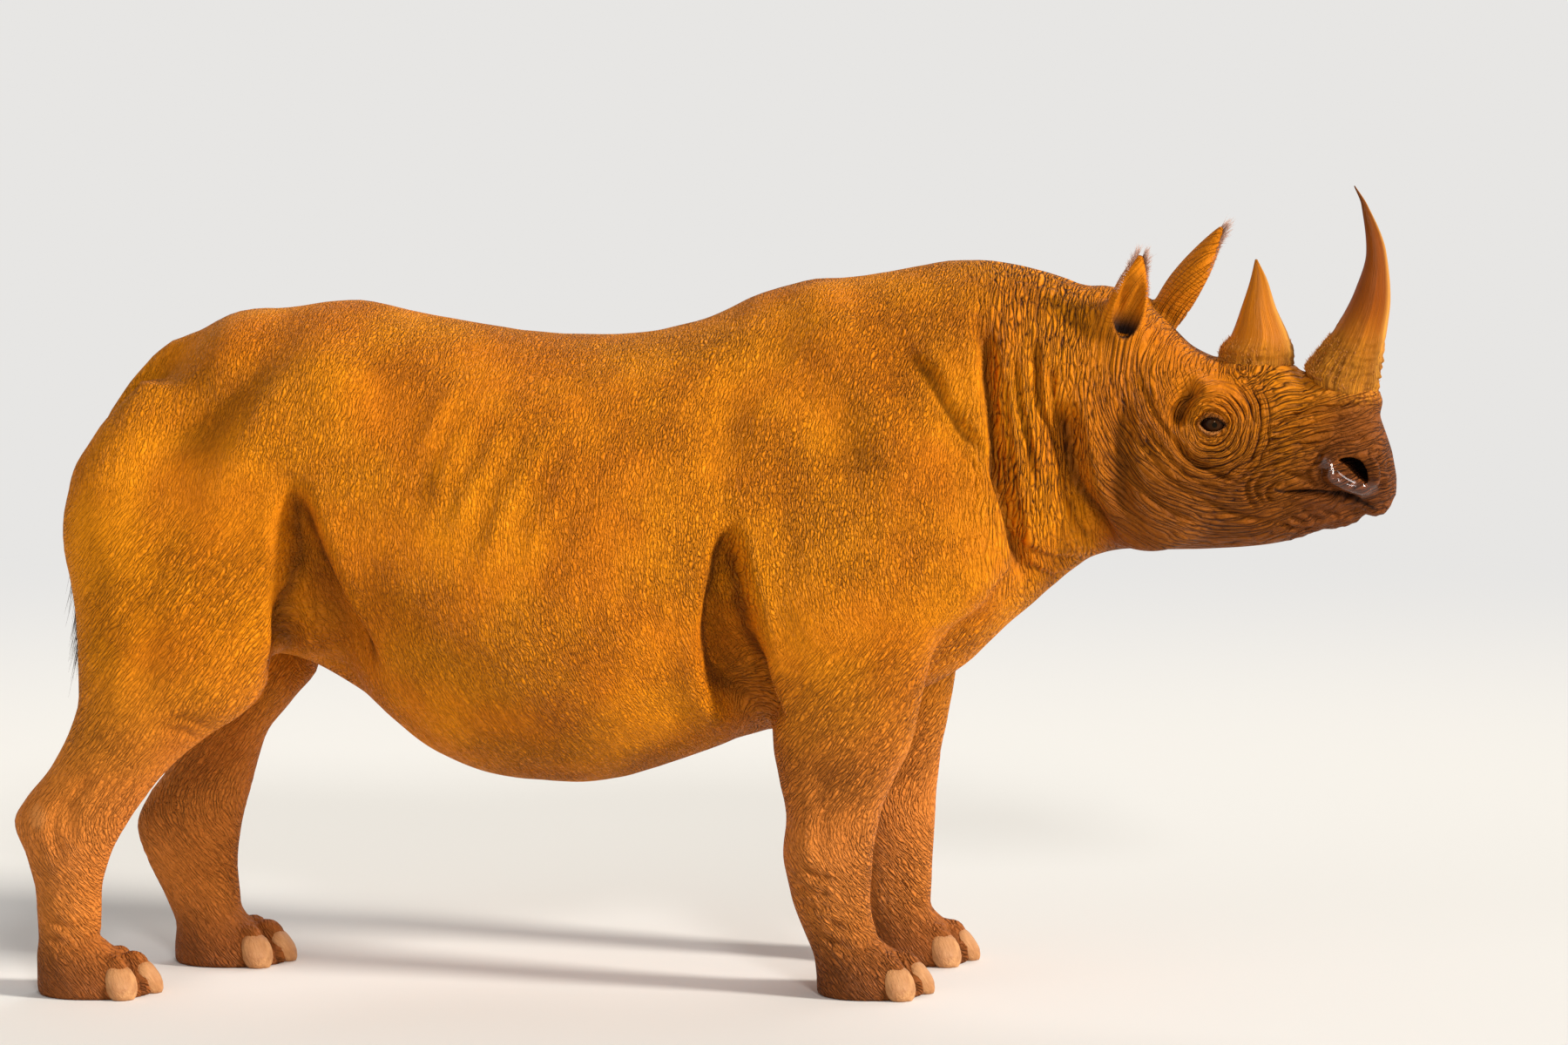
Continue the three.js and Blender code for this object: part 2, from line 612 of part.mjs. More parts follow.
// Turns the neck along its arc and carries the head round with it.
function turned(x, y) {
  const length = HEAD_FROM - NECK_FROM;
  const radius = length / HEAD_TURN;
  const past = Math.max(0, x - NECK_FROM);
  const turn = Math.min(past, length) / radius;
  const onward = Math.max(0, past - length);
  const [cos, sin] = [Math.cos(turn), Math.sin(turn)];
  return [
    Math.min(x, NECK_FROM) + (radius + y) * sin + onward * cos - MIDDLE,
    (radius + y) * cos - radius - onward * sin,
  ];
}

function geometryOf(shape) {
  const { numProp, vertProperties, triVerts } = shape.getMesh();
  const count = vertProperties.length / numProp;
  const positions = new Float32Array(count * 3);
  for (let i = 0; i < count; i++) {
    const [x, y, z] = vertProperties.slice(i * numProp, i * numProp + 3);
    positions.set([...turned(x, y), z], i * 3);
  }
  const geometry = new THREE.BufferGeometry();
  geometry.setAttribute("position", new THREE.BufferAttribute(positions, 3));
  geometry.setIndex(new THREE.BufferAttribute(new Uint32Array(triVerts), 1));
  geometry.computeVertexNormals();
  return geometry;
}

const finishes = {
  skin: new THREE.MeshStandardMaterial({ color: 0xa8743a, roughness: 0.8, metalness: 0 }),
  horn: new THREE.MeshStandardMaterial({ color: 0xb5803a, roughness: 0.55, metalness: 0 }),
  eye: new THREE.MeshStandardMaterial({ color: 0x1d0f08, roughness: 0.1, metalness: 0 }),
  nail: new THREE.MeshStandardMaterial({ color: 0x8a6238, roughness: 0.6, metalness: 0 }),
  bristle: new THREE.MeshStandardMaterial({ color: 0x2a1c12, roughness: 0.7, metalness: 0 }),
};
const finishOf = (name) => {
  const start = name.split("_")[0];
  if (name === "tail_tuft") return finishes.bristle;
  return finishes[start] ?? finishes.skin;
};

const rhinoceros = new THREE.Group();
rhinoceros.name = "black_rhinoceros";
for (const [name, shape] of Object.entries(pieces)) {
  const mesh = new THREE.Mesh(geometryOf(shape), finishOf(name));
  mesh.name = name;
  rhinoceros.add(mesh);
}

export default rhinoceros;
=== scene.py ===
import math

import bpy
import numpy as np
from mathutils import Matrix, Vector, noise


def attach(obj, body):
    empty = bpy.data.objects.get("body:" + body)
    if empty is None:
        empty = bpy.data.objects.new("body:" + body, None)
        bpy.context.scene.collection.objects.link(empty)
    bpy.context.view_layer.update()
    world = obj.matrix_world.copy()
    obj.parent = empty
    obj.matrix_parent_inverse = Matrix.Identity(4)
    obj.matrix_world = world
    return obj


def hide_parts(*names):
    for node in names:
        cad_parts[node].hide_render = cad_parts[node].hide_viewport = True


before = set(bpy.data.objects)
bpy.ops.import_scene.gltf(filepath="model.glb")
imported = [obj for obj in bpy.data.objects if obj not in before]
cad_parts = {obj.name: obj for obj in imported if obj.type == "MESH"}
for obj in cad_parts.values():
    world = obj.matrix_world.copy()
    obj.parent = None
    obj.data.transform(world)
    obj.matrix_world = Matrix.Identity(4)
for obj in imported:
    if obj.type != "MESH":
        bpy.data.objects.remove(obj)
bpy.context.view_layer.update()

# ---------------------------------------------------------------- the animal's measures
# Millimetres, for the animal with a straight neck: X forward, Y to its left, Z up, 0 on the midline
# and on the ground. The neck is turned last, and then the whole is brought to metres.

MIDDLE = 4.5  # the place along the body that becomes X 0
NECK_FROM = 622
HEAD_FROM = 838
HEAD_TURN = math.radians(12)  # how far the head looks to the animal's right

# Outlines of the body along X: place, top, bottom, half width, height of the widest point.
TRUNK = (
    (-1375, 1075, 990, 30, 1030), (-1350, 1156, 880, 130, 1045), (-1305, 1242, 810, 215, 1065),
    (-1235, 1334, 765, 285, 1090), (-1105, 1482, 742, 342, 1120), (-920, 1524, 730, 372, 1120),
    (-790, 1537, 664, 390, 1070), (-600, 1503, 516, 424, 1000), (-400, 1472, 458, 444, 950),
    (-200, 1461, 462, 440, 930), (0, 1497, 523, 412, 950), (150, 1560, 568, 374, 980),
    (235, 1577, 590, 350, 1000), (400, 1600, 630, 312, 1040), (560, 1628, 700, 280, 1090),
    (700, 1617, 822, 244, 1160), (860, 1568, 956, 200, 1230), (960, 1520, 1040, 150, 1250),
    (1030, 1400, 1110, 60, 1255),
)
SKULL = (
    (800, 1440, 1110, 50, 1250), (850, 1535, 1010, 138, 1235), (900, 1560, 985, 164, 1225),
    (960, 1555, 985, 178, 1222), (1020, 1510, 984, 184, 1228), (1100, 1437, 986, 181, 1232),
    (1170, 1410, 990, 168, 1228), (1250, 1400, 997, 147, 1212), (1340, 1384, 1016, 128, 1200),
    (1410, 1364, 1050, 120, 1190), (1470, 1342, 1085, 108, 1180), (1515, 1288, 1092, 90, 1170),
    (1542, 1222, 1098, 64, 1150), (1555, 1165, 1115, 26, 1138),
)
TRUNK_POWER = 2.15
SKULL_POWER = 2.35

# Rounded masses of the head: centre (Y is the distance from the midline), radii, softness of the join.
HEAD_MASSES = (
    ((1135, 128, 1335), (82, 48, 40), 40),  # brow
    ((1020, 112, 1130), (140, 84, 138), 60),  # cheek
    ((1478, 74, 1178), (60, 38, 52), 30),  # nostril wing
    ((952, 108, 1490), (52, 50, 62), 36),  # ear root
    ((1428, 0, 1322), (96, 94, 58), 50),  # seat of the front horn
    ((1240, 0, 1378), (98, 84, 40), 36),  # seat of the rear horn
    ((1512, 0, 1102), (32, 52, 34), 26),  # hook of the upper lip
    ((1404, 0, 1078), (82, 66, 40), 28),  # lower lip
)

# Legs along Z: height, right back and front, left back and front, distance out, half width.
HIND = (
    (-40, -1486, -1232, -1222, -962, 205, 112), (30, -1494, -1236, -1226, -968, 205, 112),
    (80, -1494, -1300, -1224, -1040, 206, 92), (135, -1490, -1350, -1240, -1074, 208, 73),
    (220, -1495, -1349, -1280, -1080, 212, 70), (310, -1514, -1327, -1311, -1072, 218, 76),
    (390, -1537, -1286, -1278, -1053, 224, 83), (440, -1513, -1251, -1244, -1038, 228, 87),
    (520, -1450, -1182, -1228, -1015, 236, 98), (600, -1408, -1090, -1258, -955, 242, 116),
    (680, -1388, -985, -1290, -890, 244, 132), (780, -1390, -945, -1335, -862, 240, 143),
    (900, -1402, -934, -1385, -862, 232, 148), (1030, -1424, -925, -1416, -880, 215, 150),
    (1140, -1412, -925, -1408, -905, 195, 142), (1260, -1352, -960, -1350, -955, 165, 118),
    (1370, -1255, -1020, -1255, -1020, 145, 60),
)
FORE = (
    (-40, 252, 492, 366, 606, 215, 112), (30, 250, 492, 364, 606, 215, 114),
    (80, 246, 440, 360, 562, 216, 98), (135, 226, 386, 346, 516, 218, 80),
    (220, 196, 371, 338, 518, 220, 80), (320, 176, 376, 326, 525, 222, 88),
    (396, 182, 388, 322, 528, 226, 92), (480, 166, 420, 292, 538, 234, 100),
    (560, 146, 458, 250, 555, 244, 112), (670, 128, 483, 180, 572, 255, 124),
    (780, 96, 510, 116, 585, 262, 132), (880, 66, 605, 76, 630, 262, 136),
    (1020, 40, 686, 44, 688, 250, 130), (1150, 50, 655, 50, 655, 228, 122),
    (1290, 100, 590, 100, 590, 190, 105), (1420, 180, 480, 180, 480, 140, 60),
)
LEGS = (
    ("fore_right", -1, FORE), ("fore_left", 1, FORE), ("hind_right", -1, HIND), ("hind_left", 1, HIND),
)
LEG_POWER = 2.2
NAIL_TURNS = (-0.98, 0, 0.98)

EAR_DEPTH = 36
EAR_LEAST = 6  # half width and depth at its very tip
EAR_WALL = 11
EAR_HOLLOW = (22, 34)  # how far the hollow lies forward of the ear's middle and over its root
EAR_RIM = 11  # softness of the rims' edges
EAR_RIDGE, EAR_RIDGE_WAVE = 5.5, 6.5  # height and spacing of the ridges in its hollow
EAR_WRINKLE = 9.5  # from one wrinkle across its back to the next
# Ears: side, root, length, half width, lean forward, splay outward, turn of the opening.
EARS = (
    (-1, (945, 112, 1448), 215, 38, 0.27, 0.2, 1.25),
    (1, (1002, 110, 1470), 270, 54, 0.54, 0.2, 0.6),
)

EYE = (1166, 147, 1281)
EYE_RADIUS = 26
EYE_GAPE = (29, 17)  # half length and half height of the opening between the lids
EYE_SLANT = 0.03
NOSTRIL = ((1443, 1202), (1461, 1199), (1478, 1190), (1491, 1175), (1501, 1157))
NOSTRIL_RADII = (3, 11, 16, 14, 6)
MOUTH = ((1303, 1135), (1318, 1130), (1348, 1129), (1404, 1128), (1438, 1118), (1473, 1106), (1512, 1092))

TAIL_ROUTE = (
    (-1060, 1430), (-1178, 1421), (-1266, 1342), (-1336, 1250), (-1382, 1160), (-1404, 1050),
    (-1398, 920), (-1390, 800),
)
TAIL_RADII = (38, 13)
TAIL_STUB = 0.46  # the share of the tail that is one with the rump
TAIL_SPREAD = 1.5  # how much wider than deep the tail is at its root

FOOT_STATION = 1  # the station of a leg's table at which its foot is widest
TOE, TOE_MEAN = (46, 37, 66), 42  # a toe's radii and their mean in plan
TOE_INSET = (46, 42)  # from a foot's outline back to its toes' middles
TOE_HEIGHT = 28
SOLE_ROUND = 14
GROOVE_WIDTH, GROOVE_DEPTH = 0.1, 15  # between the toes: half width in radians, depth
GROOVE_FULL, GROOVE_TOP = 60, 112  # heights up to which the grooves are full, and where they end
CUTICLE_HEIGHT, CUTICLE_SWELL = 84, 2  # of the swelling over the nails
CUTICLE_REACH = (0.3, 13)  # round the foot, in radians, and up
FOOT_TOP = 190

# Softness of the joins between the masses.
SKULL_JOIN = 90
LEG_JOIN = 70
TAIL_JOIN = 70
EAR_JOIN = 26
LID_JOIN = 22
TOE_JOIN = 16
LID_THICK = 4.5
LID_REACH = 60  # how far from the eye the lids' folds go
LID_WRAP = 20  # and how far nearer the midline than its middle
NOSTRIL_FLOOR = 56  # how far from the midline the nostril's pit ends

# ---------------------------------------------------------------- the smooth form


def smooth_step(low, high, value):
    t = np.clip((value - low) / (high - low), 0, 1)
    return t * t * (3 - 2 * t)


def profile(at, value, loose=False):
    """A smooth function through the stations. Unless it is loose, it has no overshoot between them."""
    at, value = np.asarray(at, float), np.asarray(value, float)
    width = np.diff(at)
    rise = np.diff(value) / width
    before, after = rise[:-1], rise[1:]
    both = np.where(before * after > 0, before + after, 1)
    inner = np.where(before * after > 0, 2 * before * after / both, 0)
    if loose:
        inner = (before * width[1:] + after * width[:-1]) / (width[1:] + width[:-1])
    slope = np.concatenate(([rise[0]], inner, [rise[-1]]))

    def through(t):
        i = np.clip(np.searchsorted(at, t, side="right") - 1, 0, len(at) - 2)
        u = np.clip((t - at[i]) / width[i], 0, 1)
        v = 1 - u
        ends = value[i] * v * v * (1 + 2 * u) + value[i + 1] * u * u * (1 + 2 * v)
        return ends + width[i] * u * v * (slope[i] * v - slope[i + 1] * u)

    return through


def columns(table, loose=False):
    """One smooth function for each column of a table after its first."""
    rows = np.array(table, float)
    return [profile(rows[:, 0], rows[:, k], loose) for k in range(1, rows.shape[1])]


def oval(p, q, a, b, power):
    """Signed distance, to first order, from an oval with radii a and b."""
    u, v = np.abs(p) / a, np.abs(q) / b
    r = np.maximum((u**power + v**power) ** (1 / power), 1e-4)
    slope = np.hypot((u / r) ** (power - 1) / a, (v / r) ** (power - 1) / b)
    return (r - 1) / slope


def capped(distance, past):
    """An outline's distance where the solid goes on, and the distance from its end past that."""
    return np.where(past > 0, np.hypot(np.maximum(distance, 0), past), distance)


def barrel(table, power, loose=False):
    """The trunk or the skull as ovals strung along X."""
    top, bottom, half, widest = columns(table, loose)
    first, last = table[0][0], table[-1][0]

    def field(x, y, z):
        level = widest(x)
        reach = np.where(z > level, top(x) - level, level - bottom(x))
        past = np.maximum(np.maximum(first - x, x - last), 0)
        return capped(oval(y, z - level, half(x), reach, power), past)

    return field


def limb(table, side):
    """A leg as ovals stacked along Z."""
    back_right, front_right, back_left, front_left, out, half = columns(table)
    back, front = (back_right, front_right) if side < 0 else (back_left, front_left)
    highest = table[-1][0]

    def field(x, y, z):
        b, f = back(z), front(z)
        distance = oval(x - (b + f) / 2, y - side * out(z), (f - b) / 2, half(z), LEG_POWER)
        return capped(distance, np.maximum(0, z - highest))

    return field


def mass(centre, radii, x, y, z):
    """Signed distance, to first order, from an egg on each side of the midline."""
    p = ((x - centre[0]) / radii[0], (np.abs(y) - centre[1]) / radii[1], (z - centre[2]) / radii[2])
    r = np.maximum(np.sqrt(p[0] ** 2 + p[1] ** 2 + p[2] ** 2), 1e-4)
    g = np.sqrt((p[0] / radii[0]) ** 2 + (p[1] / radii[1]) ** 2 + (p[2] / radii[2]) ** 2)
    return (r - 1) * r / np.maximum(g, 1e-6)


def blend(a, b, soft):
    """Both solids as one, with a rounded join."""
    h = np.maximum(soft - np.abs(a - b), 0) / soft
    return np.minimum(a, b) - h**3 * soft / 6


def carve(a, cutter, soft):
    """A solid less the cutter, with a rounded edge."""
    return -blend(-a, cutter, soft)


def along_path(p, q, path):
    """Distance of points from a path in a plane, the share of the path's length that is nearest,
    and the side on which the point lies (positive on the left of the way)."""
    nodes = np.array(path, float)
    steps = np.diff(nodes, axis=0)
    lengths = np.hypot(steps[:, 0], steps[:, 1])
    before = np.concatenate(([0], np.cumsum(lengths)))
    best = np.full(np.broadcast(p, q).shape, 1e9)
    share = np.zeros_like(best)
    side = np.zeros_like(best)
    for k, (dx, dz) in enumerate(steps):
        rx, rz = p - nodes[k, 0], q - nodes[k, 1]
        t = np.clip((rx * dx + rz * dz) / lengths[k] ** 2, 0, 1)
        d = np.hypot(rx - t * dx, rz - t * dz)
        nearer = d < best
        best = np.where(nearer, d, best)
        share = np.where(nearer, (before[k] + t * lengths[k]) / before[-1], share)
        side = np.where(nearer, np.sign(dx * rz - dz * rx), side)
    return best, share, side


trunk_field = barrel(TRUNK, TRUNK_POWER, True)
skull_field = barrel(SKULL, SKULL_POWER)
limb_fields = [limb(table, side) for _, side, table in LEGS]


def smooth_path(points, count):
    """Evenly spread points on the smooth curve through the given ones."""
    route = [Vector((*p, 0)) if len(p) == 2 else Vector(p) for p in points]
    padded = [route[0] * 2 - route[1], *route, route[-1] * 2 - route[-2]]
    fine = []
    for a, b, c, d in zip(padded, padded[1:], padded[2:], padded[3:]):
        for k in range(16):
            t = k / 16
            fine.append(0.5 * (2 * b + (c - a) * t + (2 * a - 5 * b + 4 * c - d) * t * t
                               + (3 * b - a - 3 * c + d) * t**3))
    fine.append(route[-1])
    fine = np.array([tuple(p) for p in fine])
    run = np.concatenate(([0], np.cumsum(np.linalg.norm(np.diff(fine, axis=0), axis=1))))
    at = np.linspace(0, run[-1], count)
    return np.stack([np.interp(at, run, fine[:, k]) for k in range(3)], axis=1)


nostril_line = smooth_path(NOSTRIL, 12)[:, :2]
mouth_line = smooth_path(MOUTH, 20)[:, :2]
tail_line = smooth_path([(x, z) for x, z in TAIL_ROUTE], 60)[:, :2]


def tail_radius(share):
    return TAIL_RADII[0] + (TAIL_RADII[1] - TAIL_RADII[0]) * np.minimum(1, share * 1.2)


def tail_field(x, y, z):
    """The tail's upper part, spread where it leaves the rump."""
    inside = tail_line[: int(len(tail_line) * TAIL_STUB)]
    d, share, _ = along_path(x, z, inside[::3])
    broad = 0.9 + TAIL_SPREAD * np.clip(1 - share * 1.15, 0, 1) ** 1.5
    return np.hypot(d, y / broad) - tail_radius(share * TAIL_STUB)


def footprint(side, table):
    """A foot's middle in plan, and its reaches along and across."""
    _, back_right, front_right, back_left, front_left, out, half = table[FOOT_STATION]
    back, front = (back_right, front_right) if side < 0 else (back_left, front_left)
    return (front + back) / 2, side * out, (front - back) / 2, half


def toe_field(x, y, z):
    nearest = None
    for _, side, table in LEGS:
        middle_x, middle_y, reach_x, reach_y = footprint(side, table)
        for turn in NAIL_TURNS:
            c, s = math.cos(turn), math.sin(turn)
            ahead = x - (middle_x + (reach_x - TOE_INSET[0]) * c)
            beside = y - (middle_y + (reach_y - TOE_INSET[1]) * s)
            p = ((ahead * c + beside * s) / TOE[0], (beside * c - ahead * s) / TOE[1],
                 (z - TOE_HEIGHT) / TOE[2])
            r = np.maximum(np.sqrt(p[0] ** 2 + p[1] ** 2 + p[2] ** 2), 1e-4)
            d = (r - 1) * TOE_MEAN
            nearest = d if nearest is None else np.minimum(nearest, d)
    return nearest


def body_field(x, y, z):
    skull = skull_field(x, y, z)
    for centre, radii, soft in HEAD_MASSES:
        skull = blend(skull, mass(centre, radii, x, y, z), soft)
    body = blend(trunk_field(x, y, z), skull, SKULL_JOIN)
    for leg in limb_fields:
        body = blend(body, leg(x, y, z), LEG_JOIN)
    return body


def ear_place(ear):
    """An ear's turn as a matrix, and its root."""
    side, root, _, _, lean, splay, turn = ear
    spin = Matrix.Rotation(-side * splay, 3, "X") @ Matrix.Rotation(lean, 3, "Y")
    spin = spin @ Matrix.Rotation(side * turn, 3, "Z")
    return np.array(spin), np.array((root[0], side * root[1], root[2]), float)


def ear_swell(share):
    share = np.clip(share, 0, 1)
    return np.maximum(np.sin(np.pi * (0.16 + 0.84 * share) ** 0.95), 0) ** 0.8


def ear_section(width, share):
    """Half width and half depth of an ear at a share of its length."""
    swell = ear_swell(share)
    return EAR_LEAST + width * swell, EAR_LEAST + EAR_DEPTH * swell * (1 - 0.35 * np.clip(share, 0, 1))


def ear_shape(ear, x, y, z):
    """A rolled leaf: distances from its outer rod and from the hollow in it, and the share of its length."""
    _, _, length, width, *_ = ear
    spin, root = ear_place(ear)
    p = [sum(spin[k, row] * c for k, c in enumerate((x - root[0], y - root[1], z - root[2])))
         for row in range(3)]

    def rod(shrink, shift, start, end):
        share = (p[2] - start) / (end - start)
        wide, deep = (np.maximum(2, size - shrink) for size in ear_section(width, share))
        middle = shift * (1 + 0.5 * share)
        if shrink:
            middle = middle + EAR_RIDGE * np.cos(p[1] / EAR_RIDGE_WAVE) * np.sin(np.pi * np.clip(share, 0, 1))
        past = np.maximum(np.maximum(start - p[2], p[2] - end), 0)
        return capped(oval(p[0] - middle, p[1], deep, wide, 2), past)

    return rod(0, 0, 0, length), rod(EAR_WALL, *EAR_HOLLOW, length * 1.03), p[2] / length


def gape_distance(x, z):
    """How far a place lies outside the opening between the lids, in side view."""
    u, v = (x - EYE[0]) / EYE_GAPE[0], (z - EYE[2] + EYE_SLANT * (x - EYE[0])) / EYE_GAPE[1]
    return (np.abs(v) + np.abs(u) ** 2.4 - 1) * EYE_GAPE[1] * 0.8


def nostril_distance(x, z):
    reach, share, _ = along_path(x, z, nostril_line)
    return reach - np.interp(share, np.linspace(0, 1, len(NOSTRIL_RADII)), NOSTRIL_RADII)


def from_eye(x, y, z):
    return np.sqrt((x - EYE[0]) ** 2 + (np.abs(y) - EYE[1]) ** 2 + (z - EYE[2]) ** 2)


def head_field(x, y, z):
    d = body_field(x, y, z)
    ears = [ear_shape(ear, x, y, z)[:2] for ear in EARS]
    for outer, _ in ears:
        d = blend(d, outer, EAR_JOIN)
    for _, inner in ears:
        d = carve(d, inner, EAR_RIM)
    d = blend(d, from_eye(x, y, z) - EYE_RADIUS - LID_THICK, LID_JOIN)
    d = carve(d, np.maximum(gape_distance(x, z), EYE[1] + 2 - np.abs(y)), 3)
    return carve(d, np.maximum(nostril_distance(x, z), (NOSTRIL_FLOOR - np.abs(y)) * 0.8), 8)


def hide_field(x, y, z):
    """The whole animal but its ears, for the part behind the head."""
    d = blend(body_field(x, y, z), tail_field(x, y, z), TAIL_JOIN)
    if np.min(z) > TOE_HEIGHT + 1.5 * TOE[2]:
        return d
    d = blend(d, toe_field(x, y, z), TOE_JOIN)
    return carve(d, z, SOLE_ROUND)


# ---------------------------------------------------------------- making a mesh of the form

CORNERS = np.array([(c & 1, c >> 1 & 1, c >> 2 & 1) for c in range(8)])
EDGES = [(m, m | bit) for m in range(8) for bit in (1, 2, 4) if not m & bit]
FACES = [[c for c in range(8) if (c >> axis & 1) == end] for axis in range(3) for end in (0, 1)]


def patch_table():
    """For each way that a cell's corners can lie inside, the sheet of surface that crosses each edge."""
    table = np.full((256, 12), -1)
    counts = np.zeros(256, int)
    for case in range(256):
        inside = [case >> c & 1 for c in range(8)]
        group = {e: e for e, (m, n) in enumerate(EDGES) if inside[m] != inside[n]}

        def root(e):
            while group[e] != e:
                e = group[e]
            return e

        for face in FACES:
            crossing = [e for e in group if EDGES[e][0] in face and EDGES[e][1] in face]
            if len(crossing) == 2:
                pairs = [crossing]
            else:
                pairs = [[e for e in crossing if c in EDGES[e]] for c in face if inside[c]]
            for pair in pairs:
                if len(pair) == 2:
                    group[root(pair[0])] = root(pair[1])
        roots = sorted({root(e) for e in group})
        for e in group:
            table[case, e] = roots.index(root(e))
        counts[case] = len(roots)
    return table, counts


PATCH_OF, PATCHES = patch_table()


def contour(field, low, high, cell):
    """The surface where the field is 0, as places and triangles. It is open where the box cuts it."""
    axes = [np.arange(a, b + cell * 0.5, cell) for a, b in zip(low, high)]
    values = np.broadcast_to(
        field(axes[0][:, None, None], axes[1][None, :, None], axes[2][None, None, :]),
        [len(a) for a in axes]).astype(np.float32)
    inside = values < 0
    cells = [len(a) - 1 for a in axes]

    def shifted(array, corner):
        return array[tuple(slice(c, c + n) for c, n in zip(corner, cells))]

    case = sum(shifted(inside, corner).astype(np.uint8) << k for k, corner in enumerate(CORNERS))
    counts = PATCHES[case]
    first = np.cumsum(counts).reshape(case.shape) - counts
    total = int(counts.sum())
    sums = np.zeros((total, 3))
    hits = np.zeros(total)
    active = np.nonzero(counts)
    base = first[active]
    kinds = case[active]
    index = np.stack(active, axis=1)
    for e, (m, n) in enumerate(EDGES):
        patch = PATCH_OF[kinds, e]
        on = patch >= 0
        a = values[tuple((index[on] + CORNERS[m]).T)]
        b = values[tuple((index[on] + CORNERS[n]).T)]
        t = (a / (a - b))[:, None]
        place = index[on] + CORNERS[m] + (CORNERS[n] - CORNERS[m]) * t
        np.add.at(sums, base[on] + patch[on], place)
        np.add.at(hits, base[on] + patch[on], 1)
    places = sums / hits[:, None] * cell + np.array([a[0] for a in axes])

    quads = []
    for axis in range(3):
        u, v = (axis + 1) % 3, (axis + 2) % 3
        start = [slice(None)] * 3
        end = [slice(None)] * 3
        start[axis], end[axis] = slice(0, -1), slice(1, None)
        for k in (u, v):
            start[k] = end[k] = slice(1, -1)
        one, other = inside[tuple(start)], inside[tuple(end)]
        at = np.stack(np.nonzero(one != other), axis=1)
        outward = one[tuple(at.T)]
        for k in (u, v):
            at[:, k] += 1
        ring = []
        for du, dv in ((-1, -1), (0, -1), (0, 0), (-1, 0)):
            cell_at = at.copy()
            cell_at[:, u] += du
            cell_at[:, v] += dv
            low_corner = (1 << u if du else 0) | (1 << v if dv else 0)
            edge = EDGES.index((low_corner, low_corner | 1 << axis))
            key = tuple(cell_at.T)
            ring.append(first[key] + PATCH_OF[case[key], edge])
        ring = np.stack(ring, axis=1)
        ring[~outward] = ring[~outward][:, ::-1]
        quads.append(ring)
    quads = np.concatenate(quads)
    a, b, c, d = (places[quads[:, k]] for k in range(4))
    short = (np.linalg.norm(a - c, axis=1) < np.linalg.norm(b - d, axis=1))[:, None]
    q = quads
    tris = np.concatenate((np.where(short, q[:, [0, 1, 2]], q[:, [0, 1, 3]]),
                           np.where(short, q[:, [0, 2, 3]], q[:, [1, 2, 3]])))
    return places, tris


def settle(field, places, most, rounds=2):
    """Moves places along the field's slope onto its 0 level."""
    moved = places.copy()
    step = 0.8
    for _ in range(rounds):
        x, y, z = moved.T
        here = field(x, y, z)
        slope = np.stack((field(x + step, y, z), field(x, y + step, z), field(x, y, z + step)), axis=1)
        slope = (slope - here[:, None]) / step
        steep = np.maximum((slope**2).sum(axis=1), 0.05)
        moved -= slope * (here / steep)[:, None]
    way = moved - places
    size = np.linalg.norm(way, axis=1, keepdims=True)
    return places + way * np.minimum(1, most / np.maximum(size, 1e-6))


def ways_round(tris):
    """Every triangle's three sides, each from vertex to vertex in its own way round."""
    return np.concatenate((tris[:, [0, 1]], tris[:, [1, 2]], tris[:, [2, 0]]))


def edges_of(tris):
    """The mesh's edges as pairs of vertices, and each triangle's three edges."""
    unique, inverse = np.unique(np.sort(ways_round(tris), axis=1), axis=0, return_inverse=True)
    return unique, inverse.reshape(3, -1).T


def refine(places, tris, longest):
    """Halves every edge that is longer than the wanted length at its middle."""
    ends, edge_at = edges_of(tris)
    a, b = places[ends[:, 0]], places[ends[:, 1]]
    middle = (a + b) / 2
    length = np.linalg.norm(a - b, axis=1)
    cut = length > longest(middle) * 1.33
    # The longest edge of a triangle is cut before its others, so that no sliver is left.
    worst = edge_at[np.arange(len(tris)), length[edge_at].argmax(axis=1)]
    for _ in range(4):
        cut[worst[cut[edge_at].any(axis=1)]] = True
    number = np.full(len(ends), -1)
    number[cut] = len(places) + np.arange(cut.sum())
    marks = number[edge_at]
    cuts = (marks >= 0).sum(axis=1)
    parts = [tris[cuts == 0]]
    for k in range(3):
        order = [k, (k + 1) % 3, (k + 2) % 3]
        one = (cuts == 1) & (marks[:, k] >= 0)
        i, j, m = tris[one][:, order].T
        p = marks[one, k]
        parts += [np.stack((i, p, m), 1), np.stack((p, j, m), 1)]
        two = (cuts == 2) & (marks[:, (k + 2) % 3] < 0)
        i, j, m = tris[two][:, order].T
        p, q = marks[two, k], marks[two, (k + 1) % 3]
        flat = np.linalg.norm(places[i] - middle[edge_at[two, (k + 1) % 3]], axis=1) < np.linalg.norm(
            places[m] - middle[edge_at[two, k]], axis=1)
        parts += [np.stack((p, j, q), 1)]
        parts += [np.where(flat[:, None], np.stack((i, p, q), 1), np.stack((i, p, m), 1))]
        parts += [np.where(flat[:, None], np.stack((i, q, m), 1), np.stack((p, q, m), 1))]
    three = cuts == 3
    i, j, m = tris[three].T
    p, q, r = marks[three].T
    parts += [np.stack(t, 1) for t in ((i, p, r), (p, j, q), (r, q, m), (p, q, r))]
    return np.concatenate((places, middle[cut])), np.concatenate(parts), len(places)


def open_loop(tris):
    """The one open edge of a mesh, as a ring of vertex numbers, in the way its triangles go round."""
    ways = ways_round(tris)
    _, first, count = np.unique(np.sort(ways, axis=1), axis=0, return_index=True, return_counts=True)
    onward = {int(a): int(b) for a, b in ways[first[count == 1]]}
    start = next(iter(onward))
    loop = [start]
    while onward[loop[-1]] != start:
        loop.append(onward[loop[-1]])
    return loop


